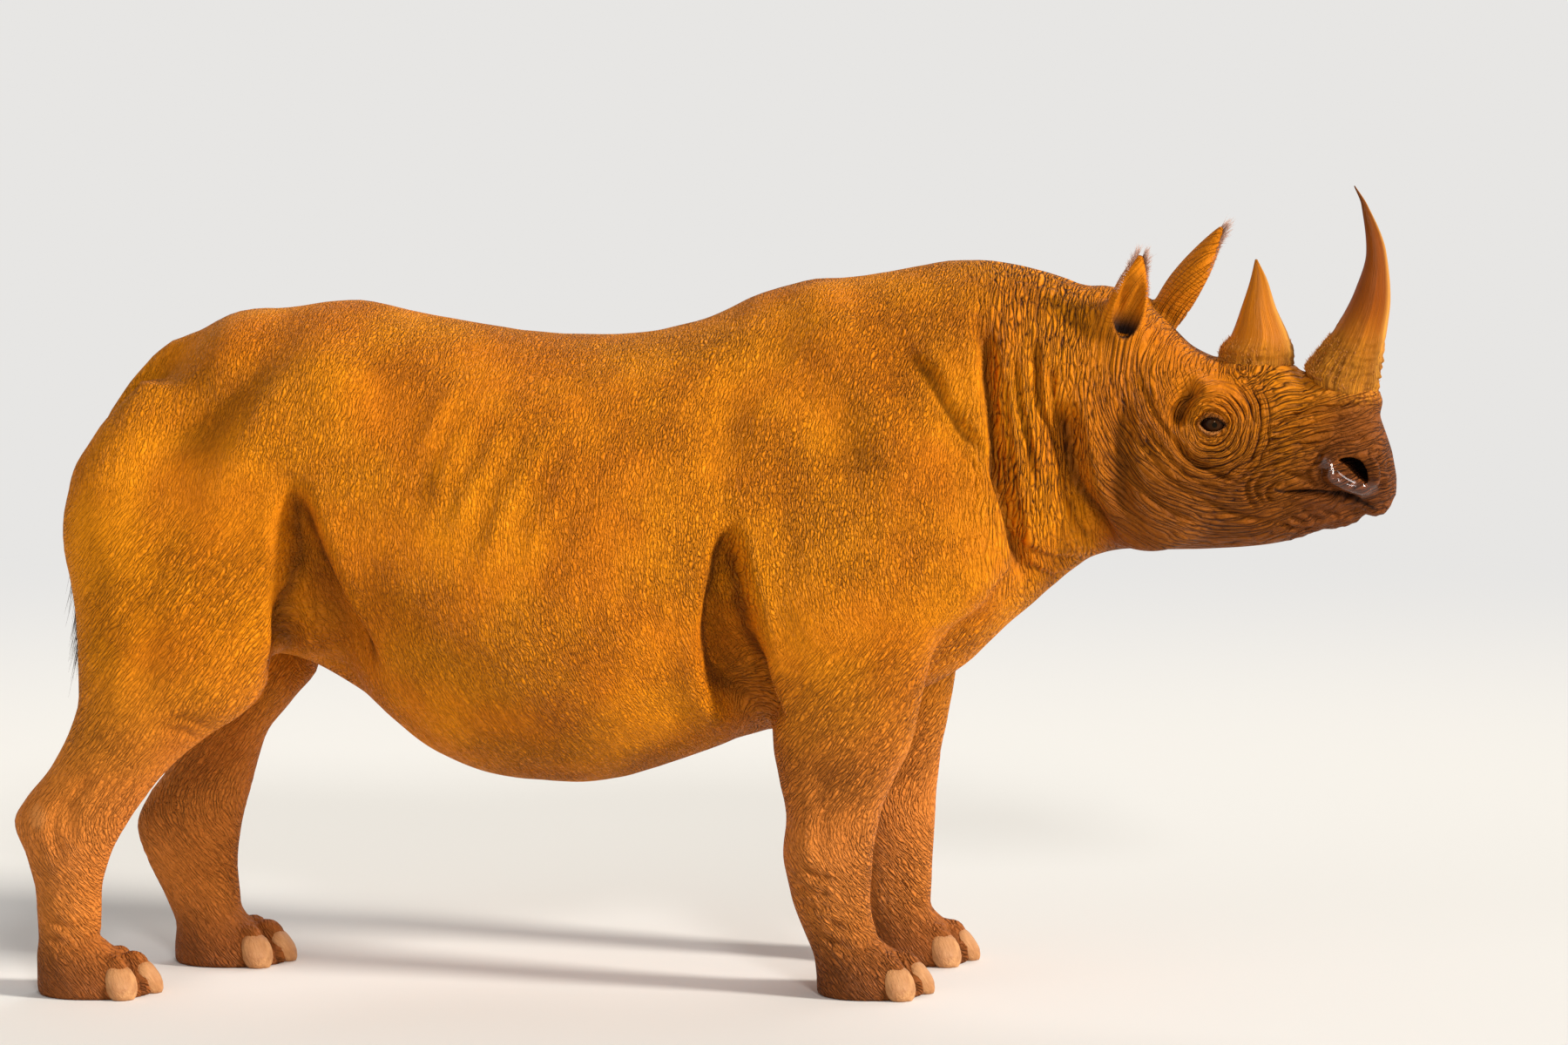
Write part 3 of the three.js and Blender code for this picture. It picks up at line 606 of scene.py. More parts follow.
def zipped(places, loop_a, loop_b, middle):
    """Triangles between two open edges that face each other across X."""

    def angle_of(v):
        return math.atan2(places[v, 2] - middle, places[v, 1])

    def from_lowest_turn(loop):
        angles = [angle_of(v) for v in loop]
        k = angles.index(min(angles))
        loop = loop[k:] + loop[:k]
        backward = angle_of(loop[len(loop) // 4]) > angle_of(loop[3 * len(loop) // 4])
        return loop[:1] + loop[:0:-1] if backward else loop

    a, b = from_lowest_turn(loop_a), from_lowest_turn(loop_b)
    tris, i, j = [], 0, 0
    while i < len(a) or j < len(b):
        p, q = a[i % len(a)], b[j % len(b)]
        next_a = angle_of(a[(i + 1) % len(a)]) + 2 * math.pi * ((i + 1) // len(a))
        next_b = angle_of(b[(j + 1) % len(b)]) + 2 * math.pi * ((j + 1) // len(b))
        if j >= len(b) or (i < len(a) and next_a < next_b):
            tris.append((p, a[(i + 1) % len(a)], q))
            i += 1
        else:
            tris.append((p, b[(j + 1) % len(b)], q))
            j += 1
    return np.array(tris)


# ---------------------------------------------------------------- folds
# Each fold: its way in side view, depth (negative stands out), width, and the side that has a raised
# lip (1 towards the left of the way, -1 the right, 0 none). Both sides of the animal have them.

FOLDS = (
    # neck and shoulder
    (((600, 1554), (614, 1486), (626, 1415), (640, 1300), (656, 1192), (701, 1028), (740, 878)), 46, 22, -1),
    (((752, 1486), (767, 1409), (774, 1325), (812, 1250), (826, 1187)), 16, 11, 1),
    (((806, 1345), (846, 1267), (858, 1190), (878, 1110), (912, 1045), (950, 1008)), 46, 27, 1),
    (((702, 1450), (712, 1350), (731, 1286), (751, 1217), (764, 1142)), 12, 10, 1),
    (((792, 1424), (808, 1325), (824, 1266)), 13, 10, -1),
    (((672, 1400), (684, 1300), (698, 1200), (716, 1120)), 9, 9, 0),
    (((434, 1458), (493, 1398), (533, 1329), (568, 1270), (615, 1215), (650, 1150)), 15, 15, 1),
    (((486, 1360), (540, 1270), (590, 1205), (628, 1150)), 8, 10, 1),
    (((848, 1117), (861, 1038), (894, 985)), 14, 12, -1),
    (((706, 1024), (792, 975), (871, 962)), 8, 10, 1),
    (((730, 960), (800, 930), (862, 935)), 7, 9, 1),
    (((484, 812), (560, 830), (642, 856)), 6, 22, 0),
    (((160, 1330), (168, 1180), (182, 1040), (200, 900)), 5, 20, 0),
    # elbow, flank, thigh
    (((66, 1120), (40, 1000), (20, 884), (14, 770), (30, 690), (76, 640), (150, 596)), 48, 25, -1),
    (((64, 1080), (80, 940), (104, 810), (134, 690), (170, 600)), 46, 22, 1),
    (((-116, 985), (-112, 900), (-116, 820)), 4, 12, 0),
    (((-902, 1185), (-913, 1040), (-929, 884), (-940, 768), (-975, 696)), 44, 24, -1),
    (((-900, 1160), (-872, 1050), (-822, 910), (-772, 780), (-730, 700)), 36, 24, 1),
    (((-1190, 900), (-1230, 760), (-1290, 640)), 12, 36, 0),
    # ribs
    (((-500, 1400), (-560, 1335), (-606, 1262), (-640, 1180)), -15, 27, 0),
    (((-420, 1395), (-492, 1315), (-545, 1230), (-590, 1120), (-610, 1030)), -20, 27, 0),
    (((-352, 1380), (-430, 1290), (-490, 1190), (-540, 1070), (-560, 980)), -20, 28, 0),
    (((-290, 1350), (-362, 1240), (-424, 1130), (-476, 1010), (-500, 930)), -18, 29, 0),
    (((-230, 1290), (-300, 1170), (-360, 1060), (-410, 940)), -14, 30, 0),
    (((-160, 1230), (-230, 1110), (-290, 990), (-330, 880)), -10, 32, 0),
    # legs
    (((-1400, 470), (-1440, 400), (-1430, 300)), 9, 18, 0),
    (((-1350, 520), (-1400, 430), (-1405, 330)), 8, 16, 0),
    (((236, 560), (262, 430), (250, 300)), 8, 22, 0),
    (((215, 300), (250, 276), (282, 282)), 8, 8, 0),
    (((200, 262), (240, 236), (280, 244)), 8, 8, 0),
    (((202, 226), (238, 204), (276, 212)), 7, 8, 0),
    (((262, 176), (320, 156), (380, 170)), 8, 9, 0),
    (((250, 136), (330, 116), (400, 132)), 8, 9, 0),
    (((-1480, 178), (-1420, 160), (-1356, 174)), 8, 9, 0),
    (((-1476, 138), (-1410, 118), (-1336, 134)), 7, 9, 0),
    (((-1100, 606), (-1140, 632), (-1190, 640)), 5, 9, 0),
    (((-1120, 580), (-1160, 606), (-1210, 614)), 5, 9, 0),
)
# Broad swellings and hollows: place in side view, reach along and across, lean of the long way from
# upright (positive leans forward), and how far the skin stands out.
SWELLS = (
    ((330, 1400), 240, 62, -27, 26),  # ridge of the shoulder blade
    ((452, 1372), 120, 58, -27, -26),
    ((322, 1222), 100, 46, -8, -20),
    ((60, 1260), 150, 46, 8, -30),  # behind the shoulder
    ((158, 1437), 90, 50, 20, -16),
    ((560, 1120), 120, 46, -5, -15),
    ((630, 985), 110, 70, 0, 15),  # point of the shoulder
    ((240, 900), 130, 90, 15, 16),  # upper arm
    ((66, 780), 180, 44, -10, -86),  # hollow behind the elbow
    ((-823, 1387), 95, 80, -10, 26),  # hip
    ((-700, 1370), 120, 70, -20, -16),
    ((-1050, 1476), 100, 36, 42, 9),  # ridge over the root of the tail
    ((-1000, 1404), 110, 42, 48, -16),
    ((-1096, 1300), 120, 78, 40, -46),  # beside the root of the tail
    ((-1190, 1230), 160, 90, 30, -24),
    ((-985, 1290), 120, 50, 30, 18),
    ((-866, 880), 210, 52, -14, -72),  # hollow of the flank
    ((-770, 790), 80, 90, -40, -30),
    ((-1113, 1143), 120, 90, 20, 16),  # thigh
    ((-1079, 898), 120, 42, 30, -14),
    ((-1040, 960), 70, 55, 20, 10),
    ((-1075, 700), 90, 75, 0, 14),  # knee
    ((-1190, 1000), 170, 40, 25, -12),
    ((-330, 800), 190, 240, 0, 10),  # belly
    ((300, 440), 120, 34, -8, -8),
    ((230, 300), 110, 26, -6, 8),
)
NOSTRIL_RIM = (
    ((1414, 1192), (1422, 1168), (1448, 1151), (1473, 1142), (1497, 1137), (1514, 1142)), -14, 12, 0,
)
NOSTRIL_ROLL = (((1408, 1203), (1419, 1191), (1418, 1172)), -8, 5.5, 0)
FACE_FOLDS = (
    (((1126, 1384), (1108, 1354), (1100, 1322), (1096, 1300), (1112, 1282)), 40, 21, 0),  # behind the eye
    (((966, 1340), (963, 1247), (963, 1164), (978, 1082)), 14, 22, 0),
    (((1203, 1239), (1279, 1275), (1361, 1306), (1448, 1325), (1495, 1322)), 7, 6, 0),
    (((1178, 1190), (1278, 1216), (1389, 1241), (1465, 1262)), 7, 6, 0),
    (((1103, 1219), (1186, 1180), (1274, 1187), (1350, 1205)), 7, 6, 0),
    (((972, 1446), (1020, 1329), (1079, 1248), (1150, 1180), (1235, 1150)), 7, 6, 0),
    (((1000, 1300), (1044, 1235), (1120, 1165), (1215, 1112)), 7, 6, 0),
    (((967, 1305), (1008, 1237), (1104, 1140), (1222, 1076), (1340, 1050)), 8, 7, 0),
    (((940, 1260), (980, 1180), (1050, 1100), (1150, 1046)), 7, 7, 0),
    (((925, 1180), (960, 1110), (1020, 1050)), 7, 7, 0),
    (((1077, 1252), (1110, 1213), (1147, 1188), (1189, 1163), (1222, 1155)), 12, 8, 0),  # under the eye
    (((1137, 1322), (1165, 1333), (1193, 1324), (1208, 1305)), 5, 5, 0),
    (((1196, 1286), (1190, 1268), (1176, 1250)), 7, 4.5, 0),
    # the long creases of the muzzle
    (((1245, 1224), (1297, 1277), (1383, 1310), (1438, 1323), (1507, 1326)), 8, 6, 0),
    (((1231, 1184), (1279, 1238), (1348, 1272), (1403, 1290), (1455, 1297), (1497, 1304)), 8, 5.5, 0),
    (((1217, 1143), (1261, 1200), (1313, 1235), (1368, 1257), (1424, 1272), (1486, 1283)), 8, 5.5, 0),
    (((1262, 1165), (1301, 1200), (1351, 1230), (1406, 1250), (1455, 1262), (1490, 1266)), 7, 5, 0),
    # the nostril: its thick moist lower rim, the groove under it, the roll over it, and its front fold
    NOSTRIL_RIM,
    (((1394, 1172), (1410, 1148), (1431, 1132), (1459, 1118), (1490, 1110)), 14, 7, 0),
    (((1408, 1214), (1436, 1226), (1470, 1229), (1496, 1221)), -8, 12, 0),
    (((1393, 1209), (1412, 1234), (1450, 1248), (1484, 1253), (1508, 1245)), 10, 5.5, 0),
    (((1499, 1213), (1513, 1193), (1518, 1167), (1516, 1138)), -9, 8, 0),
    (((1508, 1226), (1527, 1194), (1532, 1159), (1526, 1121)), 10, 5.5, 0),
    (((1538, 1206), (1543, 1180), (1541, 1156)), 7, 5, 0),
    # behind it: a dark gap, a small lobe and a wet roll
    (((1402, 1222), (1394, 1204), (1385, 1189)), 15, 6.5, 0),
    (((1374, 1170), (1390, 1179)), -6, 8, 0),
    (((1369, 1160), (1376, 1186), (1393, 1192)), 8, 5, 0),
    NOSTRIL_ROLL,
    (((1399, 1187), (1404, 1174), (1399, 1158)), 10, 5, 0),
    # the lips and their corner
    (MOUTH, 17, 5.5, 0),
    (((1316, 1146), (1372, 1143), (1440, 1132)), -5, 8, 0),
    (((1322, 1114), (1380, 1112), (1440, 1102)), -6, 9, 0),
    (((1299, 1182), (1341, 1169), (1369, 1161), (1400, 1139), (1417, 1133)), 9, 5.5, 0),
    (((1314, 1152), (1293, 1146), (1283, 1124), (1295, 1101)), 10, 5.5, 0),
    (((1289, 1179), (1267, 1158), (1262, 1127), (1280, 1096)), 9, 5.5, 0),
    (((1279, 1188), (1248, 1158), (1243, 1119), (1262, 1082)), 8, 5.5, 0),
    (((1353, 1093), (1374, 1074), (1399, 1062)), 8, 5.5, 0),
    (((1392, 1092), (1414, 1078), (1440, 1072)), 7, 5.5, 0),
    (((1330, 1074), (1368, 1055)), 8, 5.5, 0),
    (((1300, 1060), (1345, 1040), (1390, 1042)), 7, 5.5, 0),
)
FOLD_TAPER, RIB_TAPER = 0.22, 0.42  # shares of a fold's length over which it fades at each end
RIB_WIDTH = 26  # folds without a lip that are at least this wide fade like ribs
LIP_SIDE, FAR_SIDE = 0.75, 1.35  # a lipped fold's width on its lip's side and on the other, as shares
LIP_OUT, LIP_RISE = 1.7, 0.28  # how far a lip lies from its fold, in widths, and its share of the depth
DIRT_AND_SHADE_WIDTH, DIRT_AND_SHADE_DEPTH = 30, 30  # folds narrower than this are painted darker, with dirt and painted shade, the most where they are this deep
FACE_FROM, FACE_FADE = 880, 60  # the face's folds begin here and are full so much further on
MIDLINE_FADE = 60  # folds fade this near the midline
SWELL_FADE, RUMP_FADE = 90, 150  # and so do the swellings, on the rump from further out
RUMP_FROM = -1000

# The rings of folds round the eye.
RING_FIRST, RING_STEP, RINGS = 42, 13.5, 6.5  # first radius, step, number
RING_SPREAD = 0.05  # how much each step is wider than the one before
RING_WAVER, RING_STRAY = 1.6, 3  # how far the step and the first radius waver
RING_GAP = 0.35  # turn, in radians, of the gap in the rings over the eye's back corner
RING_RISE = 9.5
LID_FOLDS = (  # round the eye's opening: height, what the upper lid adds, distance from the opening, width
    (2.6, 1.6, 3.5, 2.8), (-2.6, -2.6, 10.5, 2.8), (1.2, 3.4, 18, 5),
)


def noise_at(p, size, seed=0.0):
    """Smooth noise between about -1 and 1 at places given in millimetres."""
    shift = Vector((seed * 17.3, seed * 5.1, seed * 9.7))
    return np.array([noise.noise(Vector(q) + shift) for q in p / size])


def fold_shift(p, wander):
    """How far the folds push the skin out along its normal, and how dark the narrow ones are painted, with
    dirt and painted shade.
    """
    x, z = p[:, 0] + wander[0], p[:, 2] + wander[1]
    shift = np.zeros(len(p))
    crease = np.zeros(len(p))
    off_middle = np.clip(np.abs(p[:, 1]) / MIDLINE_FADE, 0, 1)
    face = np.clip((p[:, 0] - FACE_FROM) / FACE_FADE, 0, 1)
    for folds, where in ((FOLDS, np.ones(len(p))), (FACE_FOLDS, face)):
        for path, depth, width, lip in folds:
            low = [min(q[k] for q in path) - 4 * width for k in (0, 1)]
            high = [max(q[k] for q in path) + 4 * width for k in (0, 1)]
            pick = np.nonzero((x > low[0]) & (x < high[0]) & (z > low[1]) & (z < high[1]) & (where > 0))[0]
            if len(pick) == 0:
                continue
            away, share, side = along_path(x[pick], z[pick], smooth_path(path, 24)[:, :2])
            fade = FOLD_TAPER if width < RIB_WIDTH or lip else RIB_TAPER
            taper = smooth_step(0, fade, np.minimum(share, 1 - share)) * off_middle[pick] * where[pick]
            reach = np.where(side == lip, LIP_SIDE, FAR_SIDE) * width if lip else width
            shift[pick] -= depth * np.exp(-(away / reach) ** 2) * taper
            if lip:
                bulge = np.exp(-((away - LIP_OUT * width) / width) ** 2) * (side == lip)
                shift[pick] += LIP_RISE * depth * bulge * taper
            # narrow folds are painted darker, with dirt and painted shade
            if 0 < depth and width < DIRT_AND_SHADE_WIDTH:
                dark = np.exp(-(away / (0.5 * width)) ** 2) * min(1, depth / DIRT_AND_SHADE_DEPTH)
                crease[pick] = np.maximum(crease[pick], dark * taper)
    return shift, crease


def swell_shift(p):
    """How far the broad swellings and hollows push the skin out."""
    shift = np.zeros(len(p))
    fade = np.where(p[:, 0] < RUMP_FROM, RUMP_FADE, SWELL_FADE)
    off_middle = np.clip(np.abs(p[:, 1]) / fade, 0, 1)
    for (cx, cz), along, across, lean, rise in SWELLS:
        s, c = math.sin(math.radians(lean)), math.cos(math.radians(lean))
        dx, dz = p[:, 0] - cx, p[:, 2] - cz
        u, v = (dx * s + dz * c) / along, (dx * c - dz * s) / across
        shift += rise * np.exp(-u * u - v * v)
    return shift * off_middle


def toe_shift(p):
    """The grooves between the toes, and the swelling over each nail."""
    shift = np.zeros(len(p))
    for _, side, table in LEGS:
        middle_x, middle_y, reach_x, reach_y = footprint(side, table)
        u, v = (p[:, 0] - middle_x) / reach_x, (p[:, 1] - middle_y) / reach_y
        near = (np.hypot(u, v) < 1.5) & (p[:, 2] < FOOT_TOP)
        turn = np.arctan2(v, u)
        for here, after in zip(NAIL_TURNS, NAIL_TURNS[1:]):
            gap = np.exp(-((turn - (here + after) / 2) / GROOVE_WIDTH) ** 2)
            shift -= GROOVE_DEPTH * gap * near * smooth_step(GROOVE_TOP, GROOVE_FULL, p[:, 2])
        for here in NAIL_TURNS:
            aside, up = (turn - here) / CUTICLE_REACH[0], (p[:, 2] - CUTICLE_HEIGHT) / CUTICLE_REACH[1]
            shift += CUTICLE_SWELL * np.exp(-(aside**2) - up**2) * near
    return shift


def eye_polar(p):
    """Reach from the eye and turn round it in side view, and 1 on the face's sides."""
    dx, dz = p[:, 0] - EYE[0], p[:, 2] - EYE[2]
    beside = np.clip((np.abs(p[:, 1]) - 90) / 30, 0, 1)
    return np.hypot(dx, dz * 0.9), np.arctan2(dz, dx), beside


def ring_phase(p, waver, fade):
    """The folds in rings round the eye: each has its own whole number, and how strong they are. They
    are full in front of the eye and below it, and gone over its back corner."""
    r, turn, beside = eye_polar(p)
    spread = RING_SPREAD * RING_STEP
    step = RING_STEP + RING_WAVER * waver
    inner = RING_FIRST + RING_STRAY * waver - r
    phase = (np.sqrt(np.maximum(step**2 - 4 * spread * inner, 0)) - step) / (2 * spread)
    where = smooth_step(-0.75, 0.25, np.cos(turn + RING_GAP)) * beside * (0.6 + 0.4 * fade)
    where *= smooth_step(-0.7, -0.1, phase) * smooth_step(RINGS, RINGS - 2.5, phase)
    return phase, where


def ring_shift(phase, where):
    """Rounded ridges with narrow valleys between them."""
    beside_valley = 1 - 2 * np.abs(phase - np.round(phase))
    return RING_RISE * (0.3 - np.maximum(beside_valley, 0) ** 2.2) * where


def lid_shift(p):
    """The thick rims of the lids and the deep folds over and under them."""
    away = gape_distance(p[:, 0], p[:, 2])
    upper = smooth_step(-4, 6, p[:, 2] - EYE[2])
    near = np.maximum(np.abs(p[:, 0] - EYE[0]), np.abs(p[:, 2] - EYE[2])) < LID_REACH
    near &= np.abs(p[:, 1]) > EYE[1] - LID_WRAP
    return near * sum((rise + more * upper) * np.exp(-((away - out) / width) ** 2)
                      for rise, more, out, width in LID_FOLDS)


# ---------------------------------------------------------------- the skin

BODY_CELL = 27
HEAD_CELL = 7.5
BODY_CELLS = 92  # of BODY_CELL, from behind the ears to past the rump
NECK_MIDDLE = 1270

# The wanted lengths of the skin's edges.
TRUNK_EDGE, LEG_EDGE, NECK_EDGE, FOOT_EDGE = 29.0, 19.0, 9.6, 10.5
FACE_EDGE, MUZZLE_EDGE, LID_EDGE, EAR_EDGE = 8.5, 6.5, 2.8, 5.2
LEFT_LONGER = 1.22  # how much longer they are on the left side
LEG_TOP = 600  # the legs' edges are wanted under this height
NECK_SHORT, NECK_LOW = (560, 160), 860  # where the neck's begin, over what length, and over what height


def skin_length(p):
    """The wanted length of the skin's edges at a place: short on the face, the neck's folds and the feet."""
    x, y, z = p.T
    length = np.where(z < LEG_TOP, LEG_EDGE, TRUNK_EDGE)
    neck = np.clip((x - NECK_SHORT[0]) / NECK_SHORT[1], 0, 1)
    length += (NECK_EDGE - length) * neck * (z > NECK_LOW)
    foot = np.clip((FOOT_TOP - z) / 60, 0, 1)
    length += (FOOT_EDGE - length) * foot
    for path, _, width, _ in FOLDS:
        away, _, _ = along_path(x, z, path)
        wanted = np.clip(width * 0.6, 8, 15) + np.maximum(0, away - width * 1.4) * 0.5
        length = np.minimum(length, wanted)
    face = np.full(len(p), FACE_EDGE)
    ahead = np.nonzero(x > 1060)[0]
    for path, _, width, _ in FACE_FOLDS:
        if len(ahead) and width < 14:
            away, _, _ = along_path(x[ahead], z[ahead], path)
            wanted = np.clip(width * 0.75, 4.2, 8) + np.maximum(0, away - width * 1.1) * 0.4
            face[ahead] = np.minimum(face[ahead], wanted)
    face = np.minimum(face, LID_EDGE + np.maximum(0, from_eye(x, y, z) - 46) * 0.04)
    face = np.where(np.abs(y) < 40, np.maximum(face, MUZZLE_EDGE), face)
    face = np.where((z > 1480 + 0.3 * (x - 960)) & (x < 1200), EAR_EDGE, face)
    return np.where(x > HEAD_FROM, face, length) * np.where(y > 30, LEFT_LONGER, 1)


def skin_surface():
    """The head and the body as two surfaces of their own fineness, joined behind the ears."""
    start = HEAD_FROM + HEAD_CELL / 2
    head, head_tris = contour(head_field, (start, -240, 900), (1580, 240, 1760), HEAD_CELL)
    head = settle(head_field, head, HEAD_CELL, 1)
    end = start - HEAD_CELL - 3
    body, body_tris = contour(hide_field, (end - BODY_CELL * BODY_CELLS, -500, -BODY_CELL * 1.5),
                              (end + 0.1, 500, 1720), BODY_CELL)
    body = settle(hide_field, body, BODY_CELL, 1)
    places = np.concatenate((body, head))
    head_tris = head_tris + len(body)
    seam = zipped(places, open_loop(body_tris), open_loop(head_tris), NECK_MIDDLE)
    a, b, c = (places[seam[:, k]] for k in range(3))
    middle = (a + b + c) / 3 - (0, 0, NECK_MIDDLE)
    wrong = (np.cross(b - a, c - a)[:, 1:] * middle[:, 1:]).sum(axis=1) < 0
    seam[wrong] = seam[wrong][:, ::-1]
    return places, np.concatenate((body_tris, head_tris, seam))


def turns_round(sides):
    return np.arange(sides) / sides * 2 * np.pi


def tail_tube():
    """The free end of the tail, from inside its stub on the rump down to the brush."""
    line = tail_line[int(len(tail_line) * (TAIL_STUB - 0.1)):]
    shares = np.linspace(TAIL_STUB - 0.1, 1, len(line))
    way = unit_rows(np.gradient(line, axis=0))
    turns = turns_round(20)
    rings = []
    for (x, z), (wx, wz), share in zip(line, way, shares):
        r = tail_radius(share) * (0.97 + 0.03 * math.sin(share * 260))
        rings.append(np.stack((x - wz * r * 0.85 * np.sin(turns), r * np.cos(turns),
                               z + wx * r * 0.85 * np.sin(turns)), axis=1))
    return lofted(rings)


def lofted(rings):
    """Triangles through rings of points, with the first and last ring closed by a fan."""
    sides = len(rings[0])
    places = np.concatenate(rings)
    tris = []
    for i in range(len(rings) - 1):
        for j in range(sides):
            a, b = i * sides + j, i * sides + (j + 1) % sides
            tris += [(a, b, b + sides), (a, b + sides, a + sides)]
    ends = np.array([rings[0].mean(axis=0), rings[-1].mean(axis=0)])
    first, last = len(places), len(places) + 1
    top = (len(rings) - 1) * sides
    places = np.concatenate((places, ends))
    for j in range(sides):
        tris += [(first, (j + 1) % sides, j), (last, top + j, top + (j + 1) % sides)]
    tris = np.array(tris)
    a, b, c = (places[tris[:, k]] for k in range(3))
    if (np.cross(a, b) * c).sum() < 0:
        tris = tris[:, ::-1]
    return places, tris


def unit_rows(ways):
    return ways / np.maximum(np.linalg.norm(ways, axis=1, keepdims=True), 1e-9)


def normals_of(places, tris):
    a, b, c = (places[tris[:, k]] for k in range(3))
    flat = np.cross(b - a, c - a)
    normal = np.zeros_like(places)
    for k in range(3):
        np.add.at(normal, tris[:, k], flat)
    return unit_rows(normal)


def neighbour_mean(places, tris, values):
    """Each vertex's mean of the values at its neighbours."""
    ends, _ = edges_of(tris)
    total = np.zeros_like(values)
    count = np.zeros(len(places))
    for i, j in ((0, 1), (1, 0)):
        np.add.at(total, ends[:, i], values[ends[:, j]])
        np.add.at(count, ends[:, i], 1)
    return total / count.reshape((-1,) + (1,) * (values.ndim - 1))


def turned(p):
    """Bends the neck and turns the head, and puts the animal's middle at X 0, in metres."""
    length = HEAD_FROM - NECK_FROM
    radius = length / HEAD_TURN
    past = np.maximum(0, p[:, 0] - NECK_FROM)
    turn = np.minimum(past, length) / radius
    onward = np.maximum(0, past - length)
    x = np.minimum(p[:, 0], NECK_FROM) + (radius + p[:, 1]) * np.sin(turn) + onward * np.cos(turn)
    y = (radius + p[:, 1]) * np.cos(turn) - radius - onward * np.sin(turn)
    return np.stack((x - MIDDLE, y, p[:, 2]), axis=1) / 1000


def mesh_object(name, places, tris, smooth=True):
    mesh = bpy.data.meshes.new(name)
    mesh.vertices.add(len(places))
    mesh.vertices.foreach_set("co", np.asarray(places, np.float32).ravel())
    mesh.loops.add(len(tris) * 3)
    mesh.loops.foreach_set("vertex_index", np.asarray(tris, np.int32).ravel())
    mesh.polygons.add(len(tris))
    mesh.polygons.foreach_set("loop_start", np.arange(len(tris), dtype=np.int32) * 3)
    mesh.polygons.foreach_set("use_smooth", np.full(len(tris), smooth))
    mesh.update(calc_edges=True)
    mesh.validate()
    piece = bpy.data.objects.new(name, mesh)
    bpy.context.scene.collection.objects.link(piece)
    return piece


def give_attribute(piece, name, values):
    """Stores a vector at each vertex, for the materials."""
    layer = piece.data.attributes.new(name, "FLOAT_VECTOR", "POINT")
    layer.data.foreach_set("vector", np.asarray(values, np.float32).ravel())


# Hollows with painted shadow: place, height, reach along and up, lean.
PAINTED_SHADOW_HOLLOWS = ((60, 800, 36, 190, -0.22), (-872, 900, 44, 190, -0.2), (1104, 1334, 15, 40, 0.2))
CALLUS = (-1479, 409, 20)  # place, height and reach of the bare patch on the heel
HORN_SEATS = ((1352, 1513, 84), (1158, 1326, 64))  # back, front and half width where they leave the skin
FLANK_LEVEL = 1.0  # metres; over and under it the creases lean
LEAN_BELOW, LEAN_ABOVE = 900, 420
LEG_LEANS = (-0.72, 0.85)  # of the creases high and low on a leg
FACE_CENTRE = (1225, 1400)  # the face's long wrinkles run round this place
RING_REACH = 70  # the coordinates round the eye take this radius for their way round

# The skin's small lumps: height and size.
BROAD_LUMPS, SMALL_LUMPS, SEAT_LUMPS, CHIN_LUMPS = (3.2, 150), (1.7, 62), (3.0, 9), (3.2, 13)
HEAD_CALM = 0.72  # how much flatter the lumps are on the head
FOLD_WANDER, WANDER_SIZE = 7, 90  # how far the folds stray, and over what length
SIDE_WANDER = 3  # and how far the two sides differ


def face_lay(p):
    """Coordinates across and along the face's wrinkles: arcs on the cheek, straight on the muzzle."""
    dx, dz = p[:, 0] - FACE_CENTRE[0], FACE_CENTRE[1] - p[:, 2]
    arcs = np.stack((np.hypot(dx, dz), 260 * np.arctan2(dx, np.maximum(dz, 0) + 60), p[:, 1]), axis=1)
    straight = np.stack((dz + 0.28 * dx, dx, p[:, 1]), axis=1)
    share = np.clip((p[:, 0] - 1240) / 110, 0, 1)[:, None]
    return arcs * (1 - share) + straight * share


def horn_seat(p):
    """1 where the skin meets a horn, fading out round it."""
    seat = np.zeros(len(p))
    for back, front, half in HORN_SEATS:
        u, v = (p[:, 0] - (front + back) / 2) / ((front - back) / 2), p[:, 1] / half
        seat = np.maximum(seat, smooth_step(1.3, 1.04, np.hypot(u, v)) * smooth_step(1300, 1345, p[:, 2]))
    return seat


def body_lay(p):
    """Coordinates across and along the body's creases, which lean back low on the flank and forward high."""
    rise = p[:, 2] / 1000 - FLANK_LEVEL
    lean = np.where(rise < 0, LEAN_BELOW, LEAN_ABOVE) * rise**2
    return np.stack((p[:, 0] - lean, p[:, 2], p[:, 1]), axis=1)


def leg_lay(p):
    """Coordinates for the legs' creases, which lean forward high up and back round the wrist and heel."""
    height = np.linspace(0, 1700, 171)
    slope = LEG_LEANS[0] + (LEG_LEANS[1] - LEG_LEANS[0]) * smooth_step(470, 270, height)
    drift = np.concatenate(([0], np.cumsum((slope[1:] + slope[:-1]) / 2 * np.diff(height))))
    return np.stack((p[:, 0] + np.interp(p[:, 2], height, drift), p[:, 2], p[:, 1]), axis=1)


def eye_lay(p):
    """Coordinates outward and round the eye."""
    r, turn, _ = eye_polar(p)
    return np.stack((r, RING_REACH * np.cos(turn), RING_REACH * np.sin(turn)), axis=1)


def fine_surface():
    """The animal's surface with edges as short as its folds need."""
    places, tris = skin_surface()
    for _ in range(3):
        places, tris, old = refine(places, tris, skin_length)
        new = np.arange(old, len(places))
        ahead = places[new, 0] > HEAD_FROM
        places[new[ahead]] = settle(head_field, places[new[ahead]], 6)
        places[new[~ahead]] = settle(hide_field, places[new[~ahead]], 14)
    return places, tris


